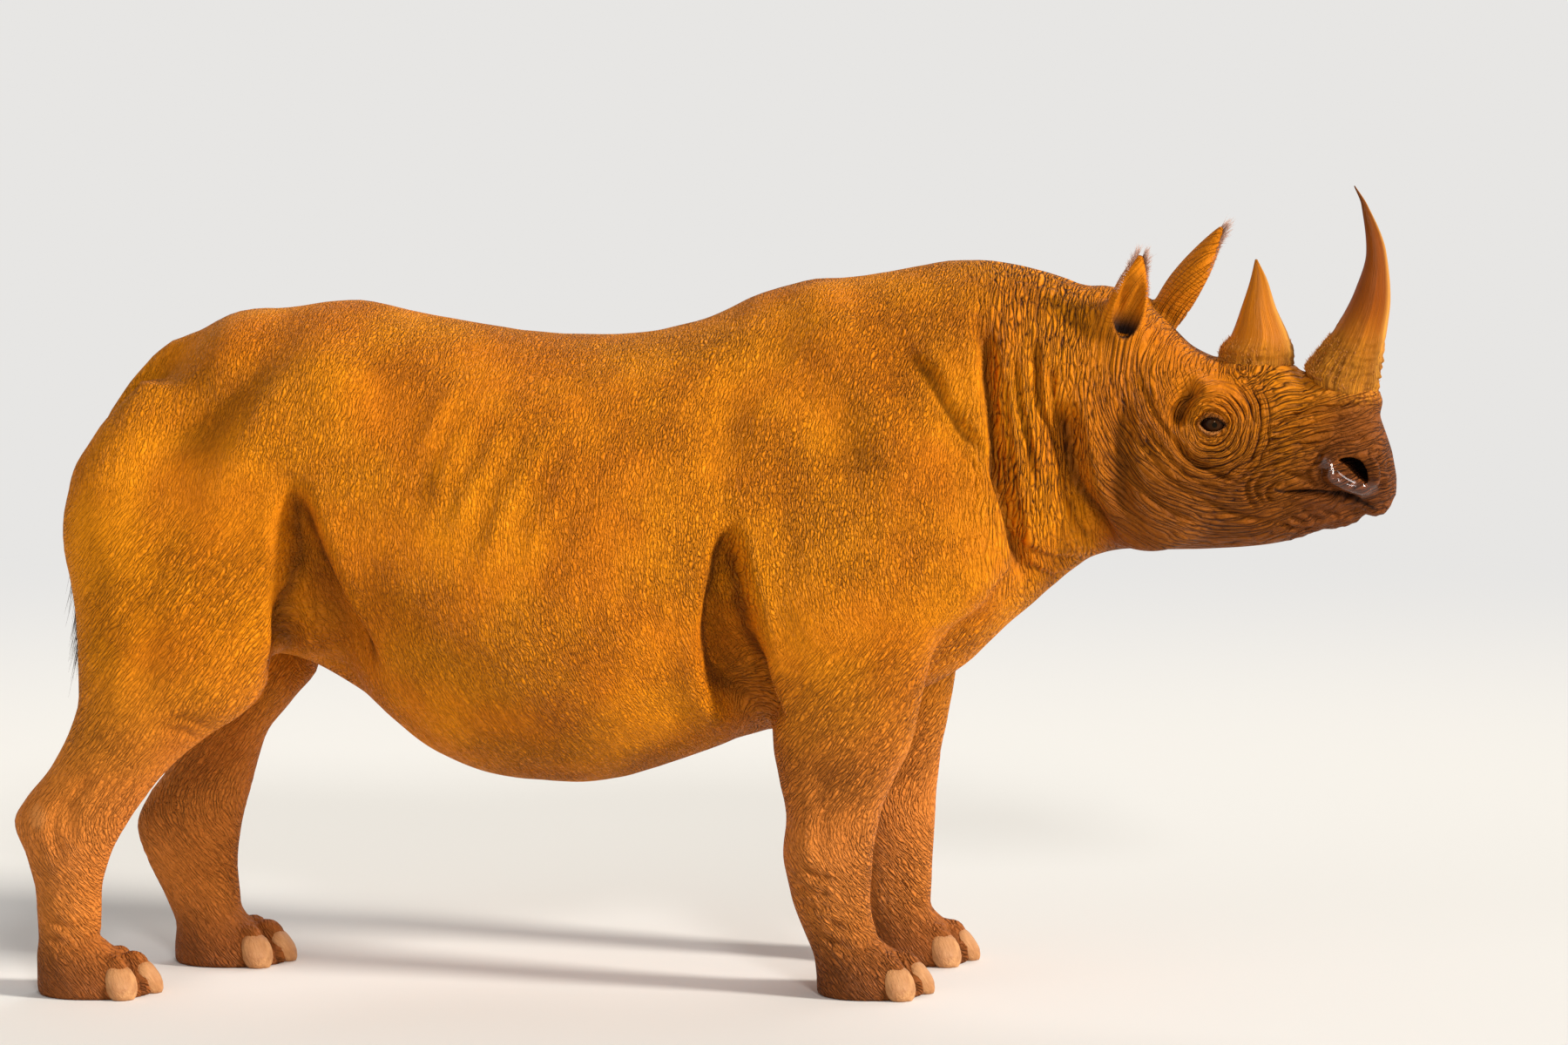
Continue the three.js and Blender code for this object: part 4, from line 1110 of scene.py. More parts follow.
def folded(places, normal):
    """The surface pushed out and in along its normals, with what the finish needs to know of it."""
    x, y, z = places.T
    wander = [noise_at(places, WANDER_SIZE, seed) * FOLD_WANDER for seed in (1, 2)]
    wander[0] += np.sign(y) * SIDE_WANDER
    fold, crease = fold_shift(places, wander)
    phase, ringed = ring_phase(places, noise_at(places, 38, 3), noise_at(places, 55, 6))
    ring = ring_shift(phase, ringed)
    toe = toe_shift(places)
    seat = horn_seat(places)
    on_head = smooth_step(860, 960, x)
    off_floor = 1 - smooth_step(60, 20, z)
    chin = smooth_step(1290, 1340, x) * smooth_step(1112, 1096, z - 0.1 * (1400 - x)) * on_head
    shift = fold + ring + lid_shift(places) + swell_shift(places) * off_floor

    def lumps(kind, seed, stretch=(1, 1, 1)):
        rise, size = kind
        return noise_at(places * stretch, size, seed) * rise

    shift += (lumps(BROAD_LUMPS, 4) + lumps(SMALL_LUMPS, 5)) * (1 - HEAD_CALM * on_head) * off_floor
    shift += toe * smooth_step(4, 16, z)
    shift += seat * lumps(SEAT_LUMPS, 15, (1, 1, 0.4))
    shift += chin * lumps(CHIN_LUMPS, 8)
    form = places + normal * shift[:, None]
    form[z < 60, 2] = np.maximum(form[z < 60, 2], 0)
    return form, {"crease": crease, "phase": phase, "ringed": ringed, "ring": ring, "toe": toe,
                  "seat": seat, "on_head": on_head}


def painted_dirt_and_shade(places, tris, form, normal, made):
    """How dark each place of the skin is painted, with dirt and painted shade, from its folds and hollows."""
    x, y, z = places.T
    # painted shade in the hollows of the folded skin
    hollow = ((neighbour_mean(form, tris, form) - form) * normal).sum(axis=1)
    for _ in range(2):
        hollow = neighbour_mean(form, tris, hollow)
    # painted dirt and shade in the narrow folds, painted shade in the valleys of the eye's rings and in the
    # grooves between the toes
    dark = made["crease"] * 0.8 + np.clip(-made["ring"] / 5, 0, 1) * 0.3 + np.clip(hollow * 0.3, 0, 0.35)
    dark = np.clip(dark + np.clip(-made["toe"] / GROOVE_DEPTH, 0, 1) * 0.8, 0, 1)
    # painted shadow in the deep hollows behind the elbow, in the flank and behind the eye
    for place, height, reach_x, reach_z, lean in PAINTED_SHADOW_HOLLOWS:
        across = (x - place - lean * (z - height)) / reach_x
        deep = np.exp(-across**4 - ((z - height) / reach_z) ** 4)
        dark = np.maximum(dark, 0.62 * deep * (np.abs(y) > 120))
    return dark


def on_legs(x, z):
    fore_leg = smooth_step(960, 700, z - 0.25 * (x - 300)) * smooth_step(20, 120, x)
    hind_leg = smooth_step(1250, 1000, z) * smooth_step(-900, -980, x)
    return np.maximum(fore_leg, hind_leg)


def wet_nostril(x, y, z):
    moist = np.zeros(len(x))
    for (path, *_), reach in ((NOSTRIL_RIM, 13), (NOSTRIL_ROLL, 8)):
        rim, _, _ = along_path(x, z, path)
        moist = np.maximum(moist, np.exp(-((rim / reach) ** 2)) * (np.abs(y) > 60) * (x > 1300))
    return moist


def shaded_openings(x, y, z):
    """1 inside the nostrils and between the lips, where painted shade darkens them."""
    pit_shade = smooth_step(2, -4, nostril_distance(x, z)) * (x > 1380) * smooth_step(104, 84, np.abs(y))
    mouth, _, _ = along_path(x, z, mouth_line)
    return np.maximum(pit_shade, smooth_step(5, 1, mouth) * (x > 1296) * 0.85)


def pale_places(places, lid):
    """The lower lids' edges and the bare patch on the heel."""
    x, y, z = places.T
    edge = smooth_step(5, 2, gape_distance(x, z)) * lid * (z < EYE[2] - 4) * (x > HEAD_FROM)
    callus = np.hypot((x - CALLUS[0]) / CALLUS[2], (z - CALLUS[1]) / (1.6 * CALLUS[2]))
    return np.maximum(edge, smooth_step(1.2, 0.6, callus + 0.25 * noise_at(places, 16, 18)) * (y < 0))


def ear_marks(places, pit_shade, made):
    """Where the ears are, the painted shade in the pits of their hollows, and the wrinkles across their
    backs.
    """
    x, y, z = places.T
    head = x > HEAD_FROM
    on_ear, phase, ringed = np.zeros(len(x)), made["phase"], made["ringed"]
    for ear in EARS:
        outer, inner, share = ear_shape(ear, x, y, z)
        back = smooth_step(10, 2, np.abs(outer)) * smooth_step(0.08, 0.3, share) * head
        wrinkled = back * smooth_step(0.72, 0.5, share) * 0.6
        phase = np.where(wrinkled > 0, share * ear[2] / EAR_WRINKLE + 0.7 * noise_at(places, 30, 16), phase)
        ringed = np.maximum(ringed, wrinkled)
        hollow = smooth_step(10, 2, np.abs(inner)) * smooth_step(0.0, 0.1, share) * head
        on_ear = np.maximum(on_ear, np.maximum(back, hollow))
        within = smooth_step(8, 2, np.abs(inner)) * (share > 0.02)
        pit_shade = np.maximum(pit_shade, within * (0.2 + 0.8 * smooth_step(0.46, 0.2, share)))
    return on_ear, pit_shade * head, phase, ringed


def make_skin(finish):
    places, tris = fine_surface()
    normal = normals_of(places, tris)
    form, made = folded(places, normal)
    x, y, z = places.T
    eye_r, _, beside = eye_polar(places)
    on_ear, pit_shade, phase, ringed = ear_marks(places, shaded_openings(x, y, z), made)
    lid = smooth_step(12, 4, gape_distance(x, z)) * (np.abs(x - EYE[0]) < 50)
    lid *= np.abs(y) > EYE[1] - LID_WRAP
    muzzle = smooth_step(1330, 1450, x + 0.3 * (1250 - z))
    nothing = np.zeros(len(x))
    marks = {
        "where": (on_legs(x, z), made["on_head"], smooth_step(150, 80, eye_r) * beside),
        "tone": (painted_dirt_and_shade(places, tris, form, normal, made), muzzle, wet_nostril(x, y, z)),
        "mark": (pit_shade, pale_places(places, lid), lid * (x > HEAD_FROM)),
        "rings": (phase, ringed, on_ear),
        "seat": (made["seat"], nothing, nothing),
    }

    tube, tube_tris = tail_tube()
    skin = mesh_object("skin", turned(np.concatenate((form, tube))),
                       np.concatenate((tris, tube_tris + len(form))))
    lay = np.concatenate((places, tube))
    for label, laid in (("lay", lay), ("face_lay", face_lay(lay)), ("body_lay", body_lay(lay)),
                        ("leg_lay", leg_lay(lay)), ("eye_lay", eye_lay(lay))):
        give_attribute(skin, label, laid / 1000)
    for label, values in marks.items():
        give_attribute(skin, label, np.concatenate((np.stack(values, axis=1), np.zeros((len(tube), 3)))))
    skin.data.materials.append(finish)
    return skin


# ---------------------------------------------------------------- finishes


def rgb(r, g, b):
    """A colour given in 0 to 255 as a screen shows it, made linear."""
    def linear(c):
        c /= 255
        return c / 12.92 if c <= 0.04045 else ((c + 0.055) / 1.055) ** 2.4

    return (linear(r), linear(g), linear(b), 1)


AMBER = rgb(234, 140, 0)
OCHRE = rgb(214, 119, 0)
BARK = rgb(114, 56, 4)
DIRT_AND_SHADE_BROWN = rgb(70, 32, 6)
MUZZLE_BROWN = rgb(114, 58, 16)
LEG_TAN = rgb(208, 122, 52)
FOOT_BROWN = rgb(132, 72, 32)
SEAT_STRAW = rgb(216, 132, 30)
WET_BROWN = rgb(92, 44, 20)
LID_BROWN = rgb(96, 52, 24)
BARE_SKIN = rgb(206, 132, 66)
PIT_SHADE_BROWN = rgb(30, 14, 7)


def add(tree, kind, inputs=None, **settings):
    """Adds a node; its inputs are numbers, colours or other nodes' outputs."""
    made = tree.nodes.new(kind)
    for key, value in settings.items():
        setattr(made, key, value)
    for key, value in (inputs or {}).items():
        if isinstance(value, bpy.types.NodeSocket):
            tree.links.new(value, made.inputs[key])
        else:
            made.inputs[key].default_value = value
    return made


def maths(tree, operation, a, b=0.0, clamp=False):
    return add(tree, "ShaderNodeMath", {0: a, 1: b}, operation=operation, use_clamp=clamp).outputs[0]


def times(tree, a, b):
    return maths(tree, "MULTIPLY", a, b)


def plus(tree, a, b):
    return maths(tree, "ADD", a, b)


def less(tree, a, b, clamp=False):
    return maths(tree, "SUBTRACT", a, b, clamp)


def vectors(tree, operation, inputs):
    return add(tree, "ShaderNodeVectorMath", inputs, operation=operation).outputs["Vector"]


def cloud(tree, place, scale, detail, rough=0.5):
    """Smooth noise about 0.5."""
    return add(tree, "ShaderNodeTexNoise", {"Vector": place, "Scale": scale, "Detail": detail,
                                            "Roughness": rough}).outputs["Fac"]


def mixed(tree, share, a, b):
    """Mixes two colours by a share."""
    return add(tree, "ShaderNodeMix", {0: share, 6: a, 7: b}, data_type="RGBA").outputs[2]


def mixed_value(tree, share, a, b):
    return add(tree, "ShaderNodeMix", {0: share, 2: a, 3: b}).outputs[0]


def layered(tree, colour, layers):
    """Lays tints over a colour one after another, each with its mask and its share."""
    for mask, share, tint in layers:
        colour = mixed(tree, times(tree, mask, share), colour, tint)
    return colour


def bumped(tree, shader, relief, distance):
    bump = add(tree, "ShaderNodeBump", {"Strength": 1.0, "Distance": distance, "Height": relief})
    tree.links.new(bump.outputs[0], shader.inputs["Normal"])


def ranged(tree, value, low, high, to_low=0.0, to_high=1.0):
    return add(tree, "ShaderNodeMapRange", {0: value, 1: low, 2: high, 3: to_low, 4: to_high},
               interpolation_type="SMOOTHSTEP").outputs[0]


def parts_of(tree, vector):
    return add(tree, "ShaderNodeSeparateXYZ", {0: vector}).outputs


def group(name, inputs, outputs):
    """A shader node group: its tree, what its user gives, and what it hands back."""
    tree = bpy.data.node_groups.new(name, "ShaderNodeTree")
    for label, kind, value in inputs:
        socket = tree.interface.new_socket(label, in_out="INPUT", socket_type=kind)
        if value is not None:
            socket.default_value = value
    for label in outputs:
        tree.interface.new_socket(label, in_out="OUTPUT", socket_type="NodeSocketFloat")
    return tree, tree.nodes.new("NodeGroupInput").outputs, tree.nodes.new("NodeGroupOutput").inputs


def creased_hide():
    """Rounded plates parted by narrow creases, with longer wandering folds among them. Cell is a plate's
    width across the creases, Length its length in widths, Waver how far the creases wander, and Folds
    the share of the long folds in the height."""
    tree, given, result = group(
        "creased hide",
        (("Lay", "NodeSocketVector", None), ("Cell", "NodeSocketFloat", 0.009),
         ("Length", "NodeSocketFloat", 2.5), ("Waver", "NodeSocketFloat", 1.0),
         ("Folds", "NodeSocketFloat", 0.4)),
        ("Height", "Crease"))
    long_cell = times(tree, given["Cell"], given["Length"])
    size = add(tree, "ShaderNodeCombineXYZ", {0: given["Cell"], 1: long_cell, 2: long_cell}).outputs[0]
    scaled = vectors(tree, "DIVIDE", {0: given["Lay"], 1: size})
    drift = add(tree, "ShaderNodeTexNoise", {"Vector": scaled, "Scale": 0.3, "Detail": 2.0}).outputs["Color"]
    drift = vectors(tree, "SUBTRACT", {0: drift, 1: (0.5, 0.5, 0.5)})
    push = vectors(tree, "SCALE", {0: drift, "Scale": given["Waver"]})
    push = vectors(tree, "MULTIPLY", {0: push, 1: (3.0, 1.5, 1.5)})
    place = vectors(tree, "ADD", {0: scaled, 1: push})
    edge = add(tree, "ShaderNodeTexVoronoi", {"Vector": place, "Scale": 0.85, "Randomness": 1.0},
               feature="DISTANCE_TO_EDGE").outputs["Distance"]
    slope = less(tree, 1.0, times(tree, edge, 2.4), clamp=True)
    plate = less(tree, 1.0, times(tree, slope, slope))
    wandering = times(tree, cloud(tree, place, 0.3, 3.0, 0.6), 3.2)
    phase = plus(tree, times(tree, parts_of(tree, place)[0], 0.8), wandering)
    ridge = times(tree, maths(tree, "PINGPONG", phase, 0.5), 2.0)
    dip = less(tree, 1.0, times(tree, ridge, 1.25), clamp=True)
    fold = less(tree, 1.0, times(tree, dip, dip))
    tree.links.new(mixed_value(tree, given["Folds"], plate, fold), result["Height"])
    narrow = ranged(tree, edge, 0.0, 0.16, 1.0, 0.0)
    thin = ranged(tree, ridge, 0.0, 0.3, 1.0, 0.0)
    tree.links.new(mixed_value(tree, given["Folds"], narrow, thin), result["Crease"])
    return tree


def weathering():
    """Broad patches and fine speckle in a finish. Size is a patch's width."""
    tree, given, result = group(
        "weathering",
        (("Lay", "NodeSocketVector", None), ("Size", "NodeSocketFloat", 0.3),
         ("Speckle", "NodeSocketFloat", 0.01)),
        ("Patches", "Specks"))
    for label, key, detail in (("Patches", "Size", 3.0), ("Specks", "Speckle", 2.0)):
        value = cloud(tree, given["Lay"], maths(tree, "DIVIDE", 1.0, given[key]), detail, 0.6)
        tree.links.new(ranged(tree, value, 0.32, 0.68), result[label])
    return tree


def grown_fibre():
    """Fibres that run along a horn or nail. Lay is round the piece in X and Y and along it in Z."""
    tree, given, result = group(
        "grown fibre",
        (("Lay", "NodeSocketVector", None), ("Fibres", "NodeSocketFloat", 24.0),
         ("Length", "NodeSocketFloat", 4.0)),
        ("Height", "Streaks"))
    size = add(tree, "ShaderNodeCombineXYZ", {0: given["Fibres"], 1: given["Fibres"], 2: given["Length"]})
    place = vectors(tree, "MULTIPLY", {0: given["Lay"], 1: size.outputs[0]})
    tree.links.new(ranged(tree, cloud(tree, place, 1.0, 4.0, 0.65), 0.3, 0.7), result["Height"])
    tree.links.new(ranged(tree, cloud(tree, place, 0.22, 2.0), 0.35, 0.65), result["Streaks"])
    return tree


HIDE_GROUP, WEATHER_GROUP, FIBRE_GROUP = creased_hide(), weathering(), grown_fibre()


def placed(tree, kind, inputs):
    """Adds a node group with its own values, and gives its outputs."""
    return add(tree, "ShaderNodeGroup", inputs, node_tree=kind).outputs


def material(name):
    """A new material, its tree and its shader."""
    made = bpy.data.materials.new(name)
    made.use_nodes = True
    tree = made.node_tree
    shader = tree.nodes["Principled BSDF"]
    return made, tree, shader


def attribute(tree, name):
    return add(tree, "ShaderNodeAttribute", attribute_name=name).outputs["Vector"]


# The creases of each part: the coordinates they follow, a plate's width, its length in widths, how far
# they wander, and the share of the long folds.
CREASES = {
    "trunk": ("body_lay", 0.0053, 2.6, 0.75, 0.5),
    "neck": ("lay", 0.0088, 4.0, 0.7, 0.5),
    "legs": ("leg_lay", 0.0066, 2.5, 0.6, 0.55),
    "face": ("face_lay", 0.0078, 4.6, 1.0, 0.62),
    "eyes": ("eye_lay", 0.006, 5.0, 0.8, 0.6),
}
TRUNK_CALM = 0.95  # share of the creases' height on the trunk and legs
EYE_CALM = 0.65  # and round the eyes, which have their own rings
HIDE_BUMP = 0.0098


def hide_finish():
    made, tree, shader = material("hide")
    lay = attribute(tree, "lay")
    leg, head, round_eye = parts_of(tree, attribute(tree, "where"))
    dark, muzzle, moist = parts_of(tree, attribute(tree, "tone"))
    pit_shade, pale, lid = parts_of(tree, attribute(tree, "mark"))
    phase, ringed, on_ear = parts_of(tree, attribute(tree, "rings"))
    seat = parts_of(tree, attribute(tree, "seat"))[0]
    x, _, z = parts_of(tree, lay)
    neck = times(tree, ranged(tree, x, 0.5, 0.68), ranged(tree, z, 0.8, 0.95))
    creased = {
        part: placed(tree, HIDE_GROUP, {"Lay": attribute(tree, way), "Cell": cell, "Length": length,
                                        "Waver": waver, "Folds": folds})
        for part, (way, cell, length, waver, folds) in CREASES.items()
    }

    def chosen(label, calm):
        value = times(tree, mixed_value(tree, leg, creased["trunk"][label], creased["legs"][label]), calm)
        value = mixed_value(tree, neck, value, creased["neck"][label])
        value = mixed_value(tree, head, value, creased["face"][label])
        return mixed_value(tree, round_eye, value, times(tree, creased["eyes"][label], EYE_CALM))

    from_valley = times(tree, maths(tree, "PINGPONG", phase, 0.5), 2.0)
    valley = times(tree, ranged(tree, from_valley, 0.0, 0.34, 1.0, 0.0), ringed)
    height = less(tree, chosen("Height", TRUNK_CALM), times(tree, valley, 0.5))
    crease = maths(tree, "MAXIMUM", chosen("Crease", 1.0), times(tree, valley, 1.5))
    depth = times(tree, ranged(tree, cloud(tree, lay, 4.5, 2.0), 0.3, 0.7, 0.45, 1.3),
                  ranged(tree, x, -0.9, 0.5, 0.75, 1.15))
    behind_head = times(tree, neck, less(tree, 1.0, head))
    for mask, more in ((behind_head, 0.45), (head, 0.25), (on_ear, -0.72)):
        depth = times(tree, depth, plus(tree, 1.0, times(tree, mask, more)))
    grain = times(tree, cloud(tree, lay, 260.0, 2.0), 0.16)
    bumped(tree, shader, plus(tree, times(tree, height, depth), grain), HIDE_BUMP)

    weather = placed(tree, WEATHER_GROUP, {"Lay": lay, "Size": 0.3, "Speckle": 0.012})
    frayed = times(tree, seat, ranged(tree, cloud(tree, lay, 120.0, 3.0), 0.35, 0.6))
    # painted shade and dirt: the creases, the narrow folds, the eye's rings and the skin's hollows darkened
    # in colour, with the painted shadow of the deep hollows
    shade = maths(tree, "MAXIMUM", times(tree, times(tree, crease, depth), 0.6), times(tree, dark, 0.74),
                  clamp=True)
    colour = layered(tree, mixed(tree, weather["Patches"], OCHRE, AMBER), (
        (times(tree, leg, ranged(tree, z, 0.85, 0.3)), 0.85, LEG_TAN),
        (ranged(tree, z, 0.2, 0.04), 0.85, FOOT_BROWN),
        # the head's lower half turns bark brown: partly its own browner tone, partly painted shade
        (times(tree, head, ranged(tree, z, 1.1, 1.4, 0.86, 0.16)), 1.0, BARK),
        (muzzle, 0.85, MUZZLE_BROWN),
        (on_ear, 0.6, OCHRE),
        (frayed, 0.8, SEAT_STRAW),
        (weather["Specks"], 0.22, BARK),
        (shade, 1.0, DIRT_AND_SHADE_BROWN),
        (moist, 0.75, WET_BROWN),
        (lid, 0.6, LID_BROWN),
        (pale, 0.7, BARE_SKIN),
        # painted shade inside the nostrils, between the lips and in the ears' hollows
        (pit_shade, 1.0, PIT_SHADE_BROWN),
    ))
    tree.links.new(colour, shader.inputs["Base Color"])
    rough = mixed_value(tree, moist, ranged(tree, weather["Specks"], 0.0, 1.0, 0.6, 0.78), 0.2)
    tree.links.new(rough, shader.inputs["Roughness"])
    tree.links.new(times(tree, moist, 0.9), shader.inputs["Coat Weight"])
    shader.inputs["Coat Roughness"].default_value = 0.12
    shader.inputs["Specular IOR Level"].default_value = 0.13
    return made


def horn_finish():
    made, tree, shader = material("horn")
    lay = attribute(tree, "lay")
    x, _, z = parts_of(tree, lay)
    rough_part, amber, _ = parts_of(tree, attribute(tree, "tone"))
    fibre = placed(tree, FIBRE_GROUP, {"Lay": lay, "Fibres": 16.0, "Length": 3.0})
    # painted highlight: the horn's front edge is painted paler, as if lit from the front
    front = times(tree, ranged(tree, x, 0.72, 1.0), ranged(tree, z, 0.02, 0.2))
    # painted shade between the collar's fibres
    shade_between_fibres = times(tree, less(tree, 1.0, fibre["Height"]), rough_part)
    colour = mixed(tree, ranged(tree, z, 0.05, 0.5), rgb(218, 128, 14), rgb(146, 70, 2))
    colour = layered(tree, colour, (
        (ranged(tree, z, 0.7, 1.0), 0.7, rgb(112, 62, 20)),
        (amber, 0.85, rgb(214, 124, 8)),
        (rough_part, 0.6, rgb(238, 156, 44)),
        (front, 0.75, rgb(240, 166, 66)),
        (fibre["Streaks"], 0.4, rgb(108, 58, 18)),
        (shade_between_fibres, 0.7, rgb(92, 50, 18)),
    ))
    tree.links.new(colour, shader.inputs["Base Color"])
    bumped(tree, shader, times(tree, fibre["Height"], ranged(tree, rough_part, 0.0, 1.0, 0.22, 1.0)), 0.004)
    tree.links.new(ranged(tree, rough_part, 0.0, 1.0, 0.4, 0.8), shader.inputs["Roughness"])
    shader.inputs["Specular IOR Level"].default_value = 0.1
    return made


def nail_finish():
    made, tree, shader = material("nail")
    lay = attribute(tree, "lay")
    fibre = placed(tree, FIBRE_GROUP, {"Lay": lay, "Fibres": 7.0, "Length": 1.5})
    weather = placed(tree, WEATHER_GROUP, {"Lay": lay, "Size": 0.8, "Speckle": 0.08})
    colour = mixed(tree, weather["Patches"], rgb(180, 120, 66), rgb(210, 152, 94))
    colour = layered(tree, colour, ((fibre["Streaks"], 0.4, rgb(140, 86, 46)),))
    tree.links.new(colour, shader.inputs["Base Color"])
    bumped(tree, shader, fibre["Height"], 0.0015)
    shader.inputs["Roughness"].default_value = 0.58
    return made


PUPIL, IRIS_FROM, IRIS_TO, WHITE_FROM = 0.2, 0.26, 0.56, 0.66  # angles from the gaze, in radians


def eye_finish():
    made, tree, shader = material("eye")
    lay = attribute(tree, "lay")
    away = parts_of(tree, lay)[0]
    iris = mixed(tree, cloud(tree, lay, 9.0, 3.0), rgb(28, 13, 3), rgb(60, 29, 6))
    colour = mixed(tree, ranged(tree, away, PUPIL, IRIS_FROM), rgb(4, 3, 2), iris)
    colour = mixed(tree, ranged(tree, away, IRIS_TO, WHITE_FROM), colour, rgb(34, 18, 10))
    tree.links.new(colour, shader.inputs["Base Color"])
    shader.inputs["Roughness"].default_value = 0.05
    shader.inputs["Specular IOR Level"].default_value = 0.15
    shader.inputs["Specular Tint"].default_value = (1.0, 0.72, 0.45, 1)
    return made


def hair_finish(name, root, tip):
    made, tree, shader = material(name)
    along = parts_of(tree, attribute(tree, "lay"))[2]
    tree.links.new(mixed(tree, ranged(tree, along, 0.0, 0.8), root, tip), shader.inputs["Base Color"])
    shader.inputs["Roughness"].default_value = 0.55
    return made


# ---------------------------------------------------------------- horns

HORN_FRONT = (
    (1338, 1358, 1506, 80, 0.45), (1363, 1352, 1513, 84, 0.42), (1410, 1378, 1520, 69, 0.35),
    (1470, 1416, 1529, 54, 0.27), (1564, 1461, 1540, 37, 0.2), (1657, 1485, 1530, 20, 0.1),
    (1761, 1473, 1487, 7, 0), (1803, 1456, 1459, 2, 0),
)
HORN_REAR = (
    (1362, 1166, 1316, 64, 0), (1428, 1158, 1326, 62, 0), (1466, 1184, 1314, 48, 0),
    (1532, 1208, 1284, 29, 0), (1593, 1227, 1264, 14, 0), (1637, 1237, 1242, 3, 0),
)
HORN_CROWDING = 1.15  # its rings stand closer at the foot
COLLAR_FIBRE, COLLAR_SHELF, HORN_FIBRE = 4.4, 5.6, 0.5  # heights of its ridges and rings, and those above


def horn_place(table, z, turn, grow=0.0):
    """A place on a horn's surface at a height and a turn round it (0 looks forward)."""
    back, front, half, dip = columns(table)
    reach = (front(z) - back(z)) / 2 + grow
    return np.stack(((front(z) + back(z)) / 2 + reach * np.cos(turn), (half(z) + grow) * np.sin(turn),
                     z - dip(z) * reach * np.cos(turn)), axis=-1)


def make_horn(name, table, rings, sides, collar, amber, finish):
    """A horn of oval rings, coarse and ridged in the collar at its foot and smooth above it."""
    low, high = table[0][0], table[-1][0]
    share, turn = np.meshgrid(np.linspace(0, 1, rings) ** HORN_CROWDING, turns_round(sides), indexing="ij")
    base = horn_place(table, low + (high - low) * share, turn).reshape(-1, 3)
    share, turn = share.ravel(), turn.ravel()
    rough = smooth_step(collar * 1.9, collar * 0.6, share + 0.06 * noise_at(base, 30, 11))
    round_it = np.stack((np.cos(turn) * 60, np.sin(turn) * 60, base[:, 2] * 0.22), axis=1)
    fibres = noise_at(round_it, 7.5, 12) + 0.8 * noise_at(round_it, 3.4, 13)
    shelves = noise_at(base * (0.3, 0.3, 1), 11, 14)
    coarse = COLLAR_FIBRE * fibres + COLLAR_SHELF * shelves - 1
    shift = rough * coarse + (1 - rough) * HORN_FIBRE * fibres * (1 - share)
    out = base - np.repeat(base.reshape(rings, sides, 3).mean(axis=1), sides, axis=0)
    radius = np.maximum(np.linalg.norm(out, axis=1, keepdims=True), 1)
    form = base + out / radius * np.minimum(shift, radius[:, 0] * 0.12)[:, None]
    places, tris = lofted(list(form.reshape(rings, sides, 3)))
    horn = mesh_object(name, turned(places), tris)
    lay = np.stack((np.cos(turn), np.sin(turn), share), axis=1)
    give_attribute(horn, "lay", np.concatenate((lay, ((0, 0, 0), (0, 0, 1)))))
    tone = np.stack((rough, np.full(len(rough), amber), np.zeros(len(rough))), axis=1)
    give_attribute(horn, "tone", np.concatenate((tone, tone[[0, -1]])))
    horn.data.materials.append(finish)
    return horn


# ---------------------------------------------------------------- eyes and nails


def ball(sides, rings):
    """A unit ball about the Z axis, with its poles as its last two places."""
    turns = turns_round(sides)
    tilts = math.pi * np.arange(1, rings) / rings
    unit, tris = lofted([np.stack((math.sin(tilt) * np.cos(turns), math.sin(tilt) * np.sin(turns),
                                   np.full(sides, -math.cos(tilt))), axis=1) for tilt in tilts])
    unit[-2:] = ((0, 0, -1), (0, 0, 1))
    return unit, tris


GAZE = (0.28, -0.05)  # how far forward and up an eye looks
CORNEA = 0.045  # its bulge over the pupil, as a share of the eye's radius
EYE_PLAY = 0.4  # between the eyeball and its socket


def make_eye(side, finish):
    unit, tris = ball(32, 20)
    gaze = Vector((GAZE[0], side, GAZE[1])).normalized()
    spin = np.array(gaze.to_track_quat("Z", "Y").to_matrix())
    bulge = 1 + CORNEA * smooth_step(0.75, 0.95, unit[:, 2])
    places = (unit * bulge[:, None]) @ spin.T * (EYE_RADIUS - EYE_PLAY) + (EYE[0], side * EYE[1], EYE[2])
    eye = mesh_object("eyeball_right" if side < 0 else "eyeball_left", turned(places), tris)
    away = np.arccos(np.clip(unit[:, 2], -1, 1))
    give_attribute(eye, "lay", np.stack((away, unit[:, 0], unit[:, 1]), axis=1))
    eye.data.materials.append(finish)
    return eye


NAIL = (26, 38, 47)
NAIL_LEAN = 0.6
NAIL_INSET = (12, 8)  # from a foot's outline back to its nails' middles
NAIL_SQUARE = (0.95, 0.86, 0.92)  # below 1 a nail is squarer than a ball
NAIL_SUNK = 0.72  # height of its middle, as a share of its own
NAIL_OFF_FLOOR = 0.4


def make_nail(name, foot, turn, finish):
    """A broad, blunt toenail, worn flat at the ground."""
    middle_x, middle_y, reach_x, reach_y = foot
    unit, tris = ball(28, 22)
    square = np.sign(unit) * np.abs(unit) ** np.array(NAIL_SQUARE)
    ridge = 1 + 0.03 * noise_at(unit * 40, 9, 21)
    lean, spin = Matrix.Rotation(-NAIL_LEAN, 3, "Y"), Matrix.Rotation(turn, 3, "Z")
    places = (square * ridge[:, None] * NAIL) @ np.array(spin @ lean).T
    places += (middle_x + (reach_x - NAIL_INSET[0]) * math.cos(turn),
               middle_y + (reach_y - NAIL_INSET[1]) * math.sin(turn), NAIL[2] * NAIL_SUNK)
    places[:, 2] = np.maximum(places[:, 2], NAIL_OFF_FLOOR)
    nail = mesh_object(name, turned(places), tris)
    give_attribute(nail, "lay", unit)
    nail.data.materials.append(finish)
    return nail


# ---------------------------------------------------------------- hair


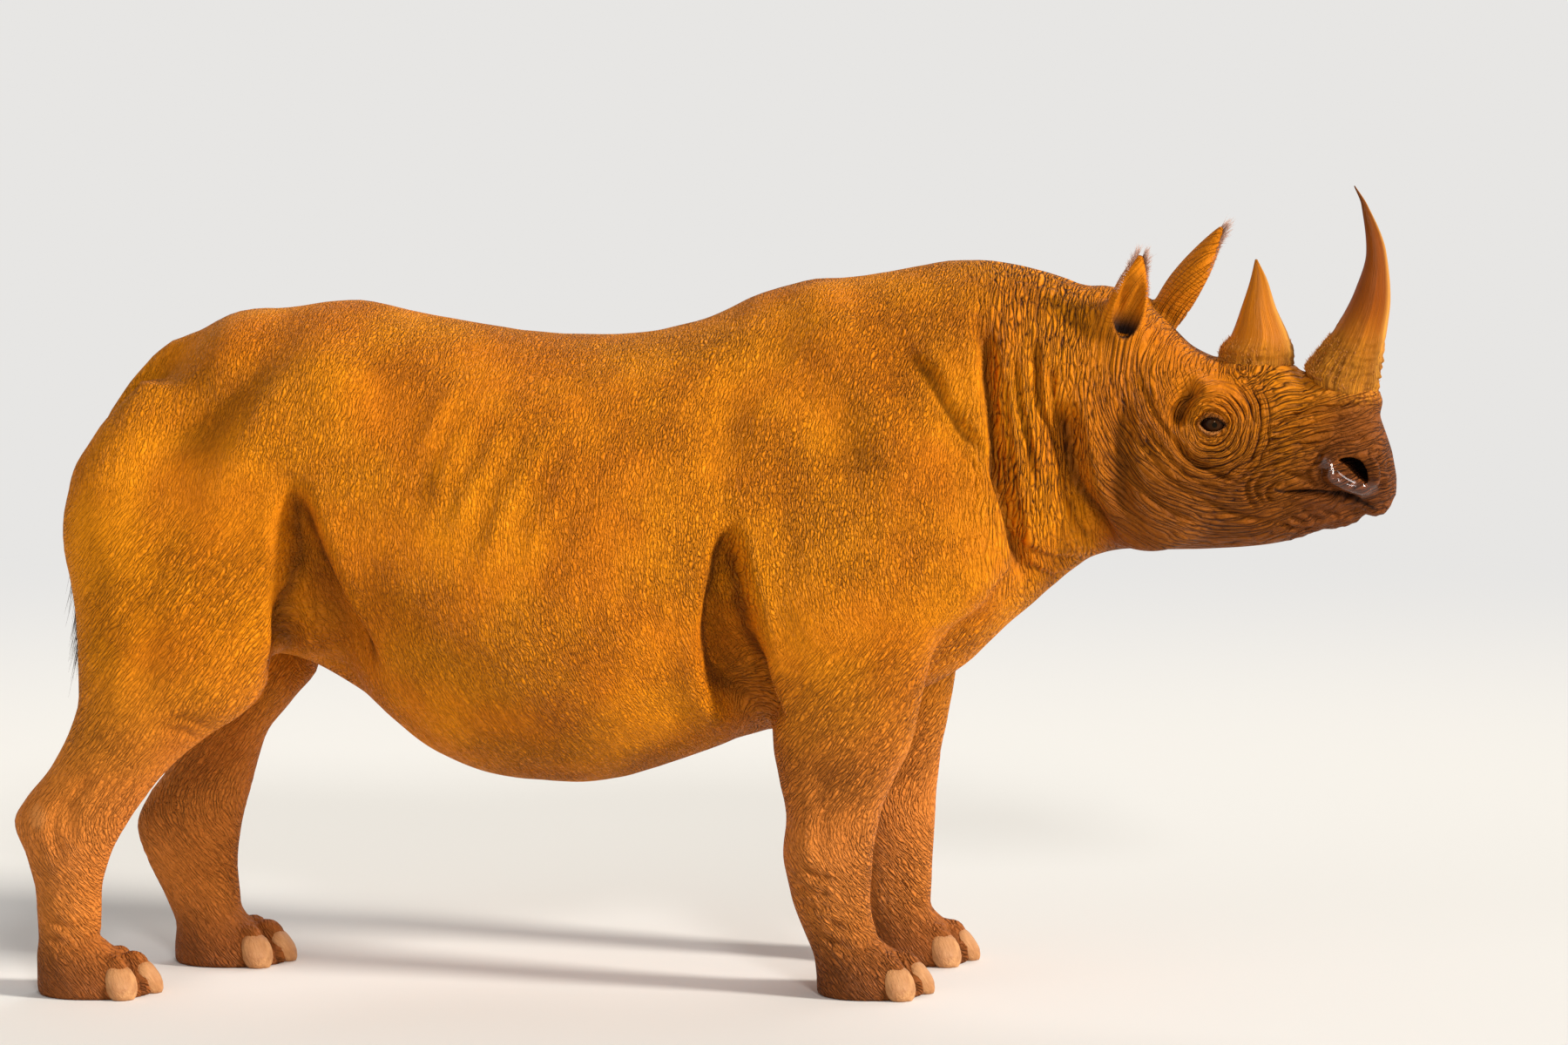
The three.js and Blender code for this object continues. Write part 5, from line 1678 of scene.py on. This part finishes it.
def bristle_tree():
    """Sets one bent, tapering bristle on every point, along the point's own way and length."""
    tree = bpy.data.node_groups.new("bristles", "GeometryNodeTree")
    face = tree.interface
    face.new_socket("Roots", in_out="INPUT", socket_type="NodeSocketGeometry")
    for label, kind, value in (("Width", "NodeSocketFloat", 0.001), ("Bend", "NodeSocketFloat", 0.2),
                               ("Seed", "NodeSocketInt", 1), ("Finish", "NodeSocketMaterial", None)):
        socket = face.new_socket(label, in_out="INPUT", socket_type=kind)
        if value is not None:
            socket.default_value = value
    face.new_socket("Bristles", in_out="OUTPUT", socket_type="NodeSocketGeometry")
    given = tree.nodes.new("NodeGroupInput").outputs
    result = tree.nodes.new("NodeGroupOutput").inputs

    def named(label, kind):
        found = add(tree, "GeometryNodeInputNamedAttribute", {"Name": label}, data_type=kind)
        return found.outputs["Attribute"]

    cone = add(tree, "GeometryNodeMeshCone", {"Vertices": 4, "Side Segments": 5, "Radius Top": 0.12,
                                              "Radius Bottom": 1.0, "Depth": 1.0})
    place = tree.nodes.new("GeometryNodeInputPosition").outputs[0]
    kept = add(tree, "GeometryNodeStoreNamedAttribute",
               {"Geometry": cone.outputs["Mesh"], "Name": "lay", "Value": place},
               data_type="FLOAT_VECTOR", domain="POINT")
    way = add(tree, "FunctionNodeAlignRotationToVector", {"Vector": named("way", "FLOAT_VECTOR")}, axis="Z")
    varied = add(tree, "FunctionNodeRandomValue", {2: 0.7, 3: 1.1, "Seed": given["Seed"]}, data_type="FLOAT")
    long = times(tree, named("long", "FLOAT"), varied.outputs[1])
    size = add(tree, "ShaderNodeCombineXYZ", {0: given["Width"], 1: given["Width"], 2: long})
    scatter = add(tree, "GeometryNodeInstanceOnPoints",
                  {"Points": given["Roots"], "Instance": kept.outputs["Geometry"],
                   "Rotation": way.outputs[0], "Scale": size.outputs[0]})
    real = add(tree, "GeometryNodeRealizeInstances", {"Geometry": scatter.outputs[0]})
    along = parts_of(tree, named("lay", "FLOAT_VECTOR"))["Z"]
    sag = times(tree, maths(tree, "POWER", along, 2.0), given["Bend"])
    drop = vectors(tree, "SCALE", {0: named("sag", "FLOAT_VECTOR"), "Scale": sag})
    bent = add(tree, "GeometryNodeSetPosition", {"Geometry": real.outputs[0], "Offset": drop})
    dressed = add(tree, "GeometryNodeSetMaterial", {"Geometry": bent.outputs[0], "Material": given["Finish"]})
    tree.links.new(dressed.outputs[0], result["Bristles"])
    return tree


BRISTLES = bristle_tree()
PATCH = 0.003  # a bristle's own patch on the skin laid out flat
EAR_HAIRS, TAIL_HAIRS, LASHES = 620, 420, 34
LASH_LENGTH = 13.0


def read_vectors(mesh, name):
    values = np.empty(len(mesh.vertices) * 3, np.float32)
    mesh.attributes[name].data.foreach_get("vector", values)
    return values.reshape(-1, 3)


def make_bristles(name, roots, ways, lengths, unwrap, width, bend, sag, finish, seed=1):
    """Bristles as one plain mesh. Roots are on the straight-necked animal, in millimetres, and unwrap
    is each root's place on the skin laid out flat."""
    start = turned(roots)
    seeds = mesh_object(name, start, np.zeros((0, 3), int))
    give_attribute(seeds, "way", unit_rows(turned(roots + ways * 5.0) - start))
    give_attribute(seeds, "sag", np.tile(sag, (len(roots), 1)) * (lengths[:, None] / 1000))
    give_attribute(seeds, "root_uv", np.column_stack((unwrap, np.zeros(len(roots)))))
    long = seeds.data.attributes.new("long", "FLOAT", "POINT")
    long.data.foreach_set("value", (lengths / 1000).astype(np.float32))
    grow = seeds.modifiers.new("bristles", "NODES")
    grow.node_group = BRISTLES
    ids = {item.name: item.identifier for item in BRISTLES.interface.items_tree if item.in_out == "INPUT"}
    for label, value in (("Width", width / 1000), ("Bend", bend), ("Seed", seed), ("Finish", finish)):
        grow[ids[label]] = value
    graph = bpy.context.evaluated_depsgraph_get()
    grown = bpy.data.meshes.new_from_object(seeds.evaluated_get(graph), depsgraph=graph)
    seeds.modifiers.remove(grow)
    seeds.data = grown
    corner = np.empty(len(grown.loops), np.int32)
    grown.loops.foreach_get("vertex_index", corner)
    own = read_vectors(grown, "lay")[corner]
    patch = read_vectors(grown, "root_uv")[corner, :2]
    patch = patch + PATCH * np.stack((own[:, 0] * 0.35, own[:, 2] - 0.5), axis=1)
    layer = grown.uv_layers.new(name="OFBake")
    layer.data.foreach_set("uv", patch.astype(np.float32).ravel())
    return seeds


def ear_hair(name, ear, finish):
    """Wisps along an ear's two rims, longest at its tip."""
    side, _, length, width, *_ = ear
    spin, root = ear_place(ear)
    count = EAR_HAIRS
    draw = np.random.default_rng(7 if side < 0 else 8)
    share = draw.uniform(0.3, 1.0, count) ** 0.45
    edge = draw.choice((-1.0, 1.0), count)
    wide, deep = ear_section(width, share)
    turn = edge * draw.uniform(0.9, 1.5, count)
    local = np.stack((deep * np.cos(turn) * 0.9, wide * np.sin(turn) * 0.97, share * length), axis=1)
    tip = smooth_step(0.8, 1.0, share)
    way = np.stack((np.full(count, 0.25), edge * (0.8 - 0.7 * tip), 0.5 + 1.4 * tip), axis=1)
    way = unit_rows(way + draw.normal(0, 0.22, way.shape))
    lengths = 5 + 26 * tip + draw.uniform(0, 8, count) * (0.5 + tip)
    unwrap = np.stack((0.5 + edge * (0.1 + 0.3 * ear_swell(share)), share), axis=1)
    return make_bristles(name, local @ spin.T + root, way @ spin.T, lengths, unwrap, 0.5, 0.25,
                         (0.1, 0, -0.4), finish, seed=3)


def tail_brush(finish):
    """The two rows of stiff, wiry hairs at the tail's tip."""
    draw = np.random.default_rng(12)
    count = TAIL_HAIRS
    share = draw.uniform(0.76, 1.0, count)
    at = share * (len(tail_line) - 1)
    line = np.stack([np.interp(at, np.arange(len(tail_line)), tail_line[:, k]) for k in (0, 1)], axis=1)
    turn = draw.uniform(0, 2 * np.pi, count)
    r = tail_radius(share) * 0.9
    roots = np.stack((line[:, 0] + r * np.cos(turn), r * np.sin(turn), line[:, 1]), axis=1)
    way = np.stack((0.22 * np.cos(turn), 0.22 * np.sin(turn), -np.ones(count)), axis=1)
    way = unit_rows(way + draw.normal(0, 0.07, way.shape))
    lengths = 70 + 75 * share * draw.uniform(0.6, 1.0, count)
    unwrap = np.stack((turn / (2 * np.pi), share), axis=1)
    return make_bristles("tail_brush", roots, way, lengths, unwrap, 0.9, 0.12, (0, 0, -1), finish, seed=5)


def lashes(name, side, finish):
    """Short lashes on the upper lid."""
    count = LASHES
    draw = np.random.default_rng(20)
    across = np.linspace(-0.9, 0.9, count)
    u = across * EYE_GAPE[0]
    up = (1 - across**2) * EYE_GAPE[1] - 0.12 * u + 2.5
    rise = np.sqrt(np.maximum((EYE_RADIUS + 5) ** 2 - u**2 - up**2, 0))
    roots = np.stack((EYE[0] + u, side * (EYE[1] + rise), EYE[2] + up), axis=1)
    way = np.stack((0.3 * across + 0.25, side * np.ones(count), -0.35 * np.ones(count)), axis=1)
    way = unit_rows(way + draw.normal(0, 0.08, way.shape))
    unwrap = np.stack((0.5 + 0.4 * across, np.full(count, 0.5)), axis=1)
    lengths = np.full(count, LASH_LENGTH)
    return make_bristles(name, roots, way, lengths, unwrap, 0.35, 0.3, (0, 0, -0.6), finish)


# The fibres on the horns' feet: the horn, how many, and the shares of its height between which they stand.
COLLARS = ((HORN_FRONT, 1500, 0.04, 0.25), (HORN_REAR, 1000, 0.14, 0.36))


def horn_collar(finish):
    """Frayed fibres on the horns' feet, most of them behind and low down."""
    draw = np.random.default_rng(31)
    roots, ways, lengths, unwrap = [], [], [], []
    for table, count, bottom, top in COLLARS:
        low, high = table[0][0], table[-1][0]
        share = bottom + (top - bottom) * draw.uniform(0.0, 1.0, count) ** 1.7
        z = low + (high - low) * share
        behind = draw.random(count) < 0.6
        turn = np.where(behind, np.pi + draw.normal(0, 0.75, count), draw.uniform(-np.pi, np.pi, count))
        place = horn_place(table, z, turn, -1.5)
        above = horn_place(table, z + 12, turn, -1.5)
        outer = horn_place(table, z, turn, 6.0)
        out = draw.uniform(0.05, 0.5, count) + 0.5 * (np.cos(turn) < -0.6)
        way = (above - place) / 12 + (outer - place) / 7 * out[:, None]
        way = unit_rows(way + draw.normal(0, 0.3, way.shape))
        roots.append(place)
        ways.append(way)
        lengths.append(draw.uniform(3, 7.5, count) * (1 + 0.5 * (np.cos(turn) < -0.6)))
        right = 0.5 if table is HORN_REAR else 0
        unwrap.append(np.stack((np.mod(turn / (2 * np.pi), 1) * 0.48 + right, share * 4), axis=1))
    roots, ways, lengths, unwrap = (np.concatenate(values) for values in (roots, ways, lengths, unwrap))
    return make_bristles("horn_collars", roots, ways, lengths, unwrap, 0.85, 0.2, (0.1, 0, 0.5), finish,
                         seed=9)


# ---------------------------------------------------------------- the animal put together

hide, horn, nail, eye = hide_finish(), horn_finish(), nail_finish(), eye_finish()
pale_hair = hair_finish("pale hair", rgb(140, 98, 74), rgb(222, 186, 168))
dark_hair = hair_finish("dark hair", rgb(34, 20, 12), rgb(66, 40, 22))
collar_hair = hair_finish("horn fibres", rgb(150, 84, 24), rgb(226, 150, 56))


def join_in(piece, slot, *nodes):
    """Lets a piece ride on the model's one body and stand for its solids. The slot is not used."""
    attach(piece, "root")
    if nodes:
        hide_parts(*nodes)


flesh = ["head", "lower_jaw", "neck", "trunk", "tail", "ear_right", "ear_left"]
flesh += [part + "_" + name for part in ("leg", "foot") for name, _, _ in LEGS]
join_in(make_skin(hide), "skin", *flesh)

join_in(make_horn("front_horn", HORN_FRONT, 210, 96, 0.2, 0, horn), "horn", "horn_front")
join_in(make_horn("rear_horn", HORN_REAR, 120, 84, 0.22, 1, horn), "horn", "horn_rear")
for side, word in ((-1, "right"), (1, "left")):
    join_in(make_eye(side, eye), "eye", "eye_" + word)
    join_in(lashes("lashes_" + word, side, dark_hair), "bristle")
for ear, word in zip(EARS, ("right", "left")):
    join_in(ear_hair("ear_hair_" + word, ear, pale_hair), "bristle")
join_in(tail_brush(dark_hair), "bristle", "tail_tuft")
join_in(horn_collar(collar_hair), "horn")
for name, side, table in LEGS:
    for number, turn in enumerate(NAIL_TURNS, start=1):
        label = f"{name}_{number}"
        toenail = make_nail("toenail_" + label, footprint(side, table), turn, nail)
        join_in(toenail, "nail", "nail_" + label)

# ---------------------------------------------------------------- camera, floor and light

AIM = Vector((0.1725, 0, 1.036))
ELEVATION = math.radians(6)
DISTANCE = 14.0
LENS, SENSOR = 142.52, 36

camera = bpy.data.objects.new("camera", bpy.data.cameras.new("camera"))
camera.data.lens = LENS
camera.data.sensor_width = SENSOR
camera.data.clip_end = 200
camera.location = AIM - Vector((0, math.cos(ELEVATION), -math.sin(ELEVATION))) * DISTANCE
camera.rotation_euler = (math.pi / 2 - ELEVATION, 0, 0)
bpy.context.scene.collection.objects.link(camera)
bpy.context.scene.camera = camera


BACKDROP = (0.8, 0.79, 0.775, 1)  # what the floor's lit part also comes to
SKY, SKY_STRENGTH = (1.0, 0.985, 0.96, 1), 0.28
FADE_FROM, FADE_TO = 3.5, 9.0  # metres from the animal's middle over which the floor fades
FLOOR_REACH = 60.0


def seen_directly(tree):
    """1 on the rays that see the studio itself, straight or in a reflection."""
    rays = add(tree, "ShaderNodeLightPath").outputs
    seen = maths(tree, "MAXIMUM", rays["Is Camera Ray"], rays["Is Glossy Ray"])
    return maths(tree, "MAXIMUM", seen, rays["Is Transmission Ray"])


def floor_finish():
    """A pale matt floor that fades into the backdrop away from the animal."""
    made, tree, shader = material("pale floor")
    shader.inputs["Base Color"].default_value = rgb(238, 236, 232)
    shader.inputs["Roughness"].default_value = 0.9
    shader.inputs["Specular IOR Level"].default_value = 0.1
    place = add(tree, "ShaderNodeTexCoord").outputs["Object"]
    away = add(tree, "ShaderNodeVectorMath", {0: place}, operation="LENGTH").outputs["Value"]
    share = times(tree, ranged(tree, away, FADE_FROM, FADE_TO), seen_directly(tree))
    far = add(tree, "ShaderNodeEmission", {"Color": BACKDROP, "Strength": 1.0})
    both = add(tree, "ShaderNodeMixShader", {0: share, 1: shader.outputs[0], 2: far.outputs[0]})
    tree.links.new(both.outputs[0], tree.nodes["Material Output"].inputs["Surface"])
    return made


corners = [(a * FLOOR_REACH, b * FLOOR_REACH, 0) for a, b in ((-1, -1), (1, -1), (1, 1), (-1, 1))]
floor = mesh_object("floor", np.array(corners), np.array([(0, 1, 2), (0, 2, 3)]), smooth=False)
floor.data.materials.append(floor_finish())

world = bpy.data.worlds.new("studio")
bpy.context.scene.world = world
world.use_nodes = True
sky = world.node_tree
around = add(sky, "ShaderNodeBackground", {"Color": SKY, "Strength": SKY_STRENGTH})
behind = add(sky, "ShaderNodeBackground", {"Color": BACKDROP, "Strength": 1.0})
both = add(sky, "ShaderNodeMixShader", {0: seen_directly(sky), 1: around.outputs[0], 2: behind.outputs[0]})
sky.links.new(both.outputs[0], sky.nodes["World Output"].inputs["Surface"])


def lamp(name, azimuth, height, strength, spread, colour=(1, 1, 1)):
    """A wide, far lamp: azimuth is turned to the right of the camera's side, both angles in degrees."""
    light = bpy.data.lights.new(name, "SUN")
    light.energy = strength
    light.angle = math.radians(spread)
    light.color = colour
    made = bpy.data.objects.new(name, light)
    turn, rise = math.radians(azimuth), math.radians(height)
    towards = Vector((math.sin(turn) * math.cos(rise), -math.cos(turn) * math.cos(rise), math.sin(rise)))
    made.location = towards * 8
    made.rotation_euler = towards.to_track_quat("Z", "Y").to_euler()
    bpy.context.scene.collection.objects.link(made)


lamp("key", 68, 23, 4.2, 12, (1.0, 0.955, 0.88))
lamp("fill", -50, 25, 0.25, 40)
lamp("front", 12, 26, 0.9, 9)
lamp("rim", 160, 45, 0.6, 25)

scene = bpy.context.scene
scene.view_settings.view_transform = "Standard"
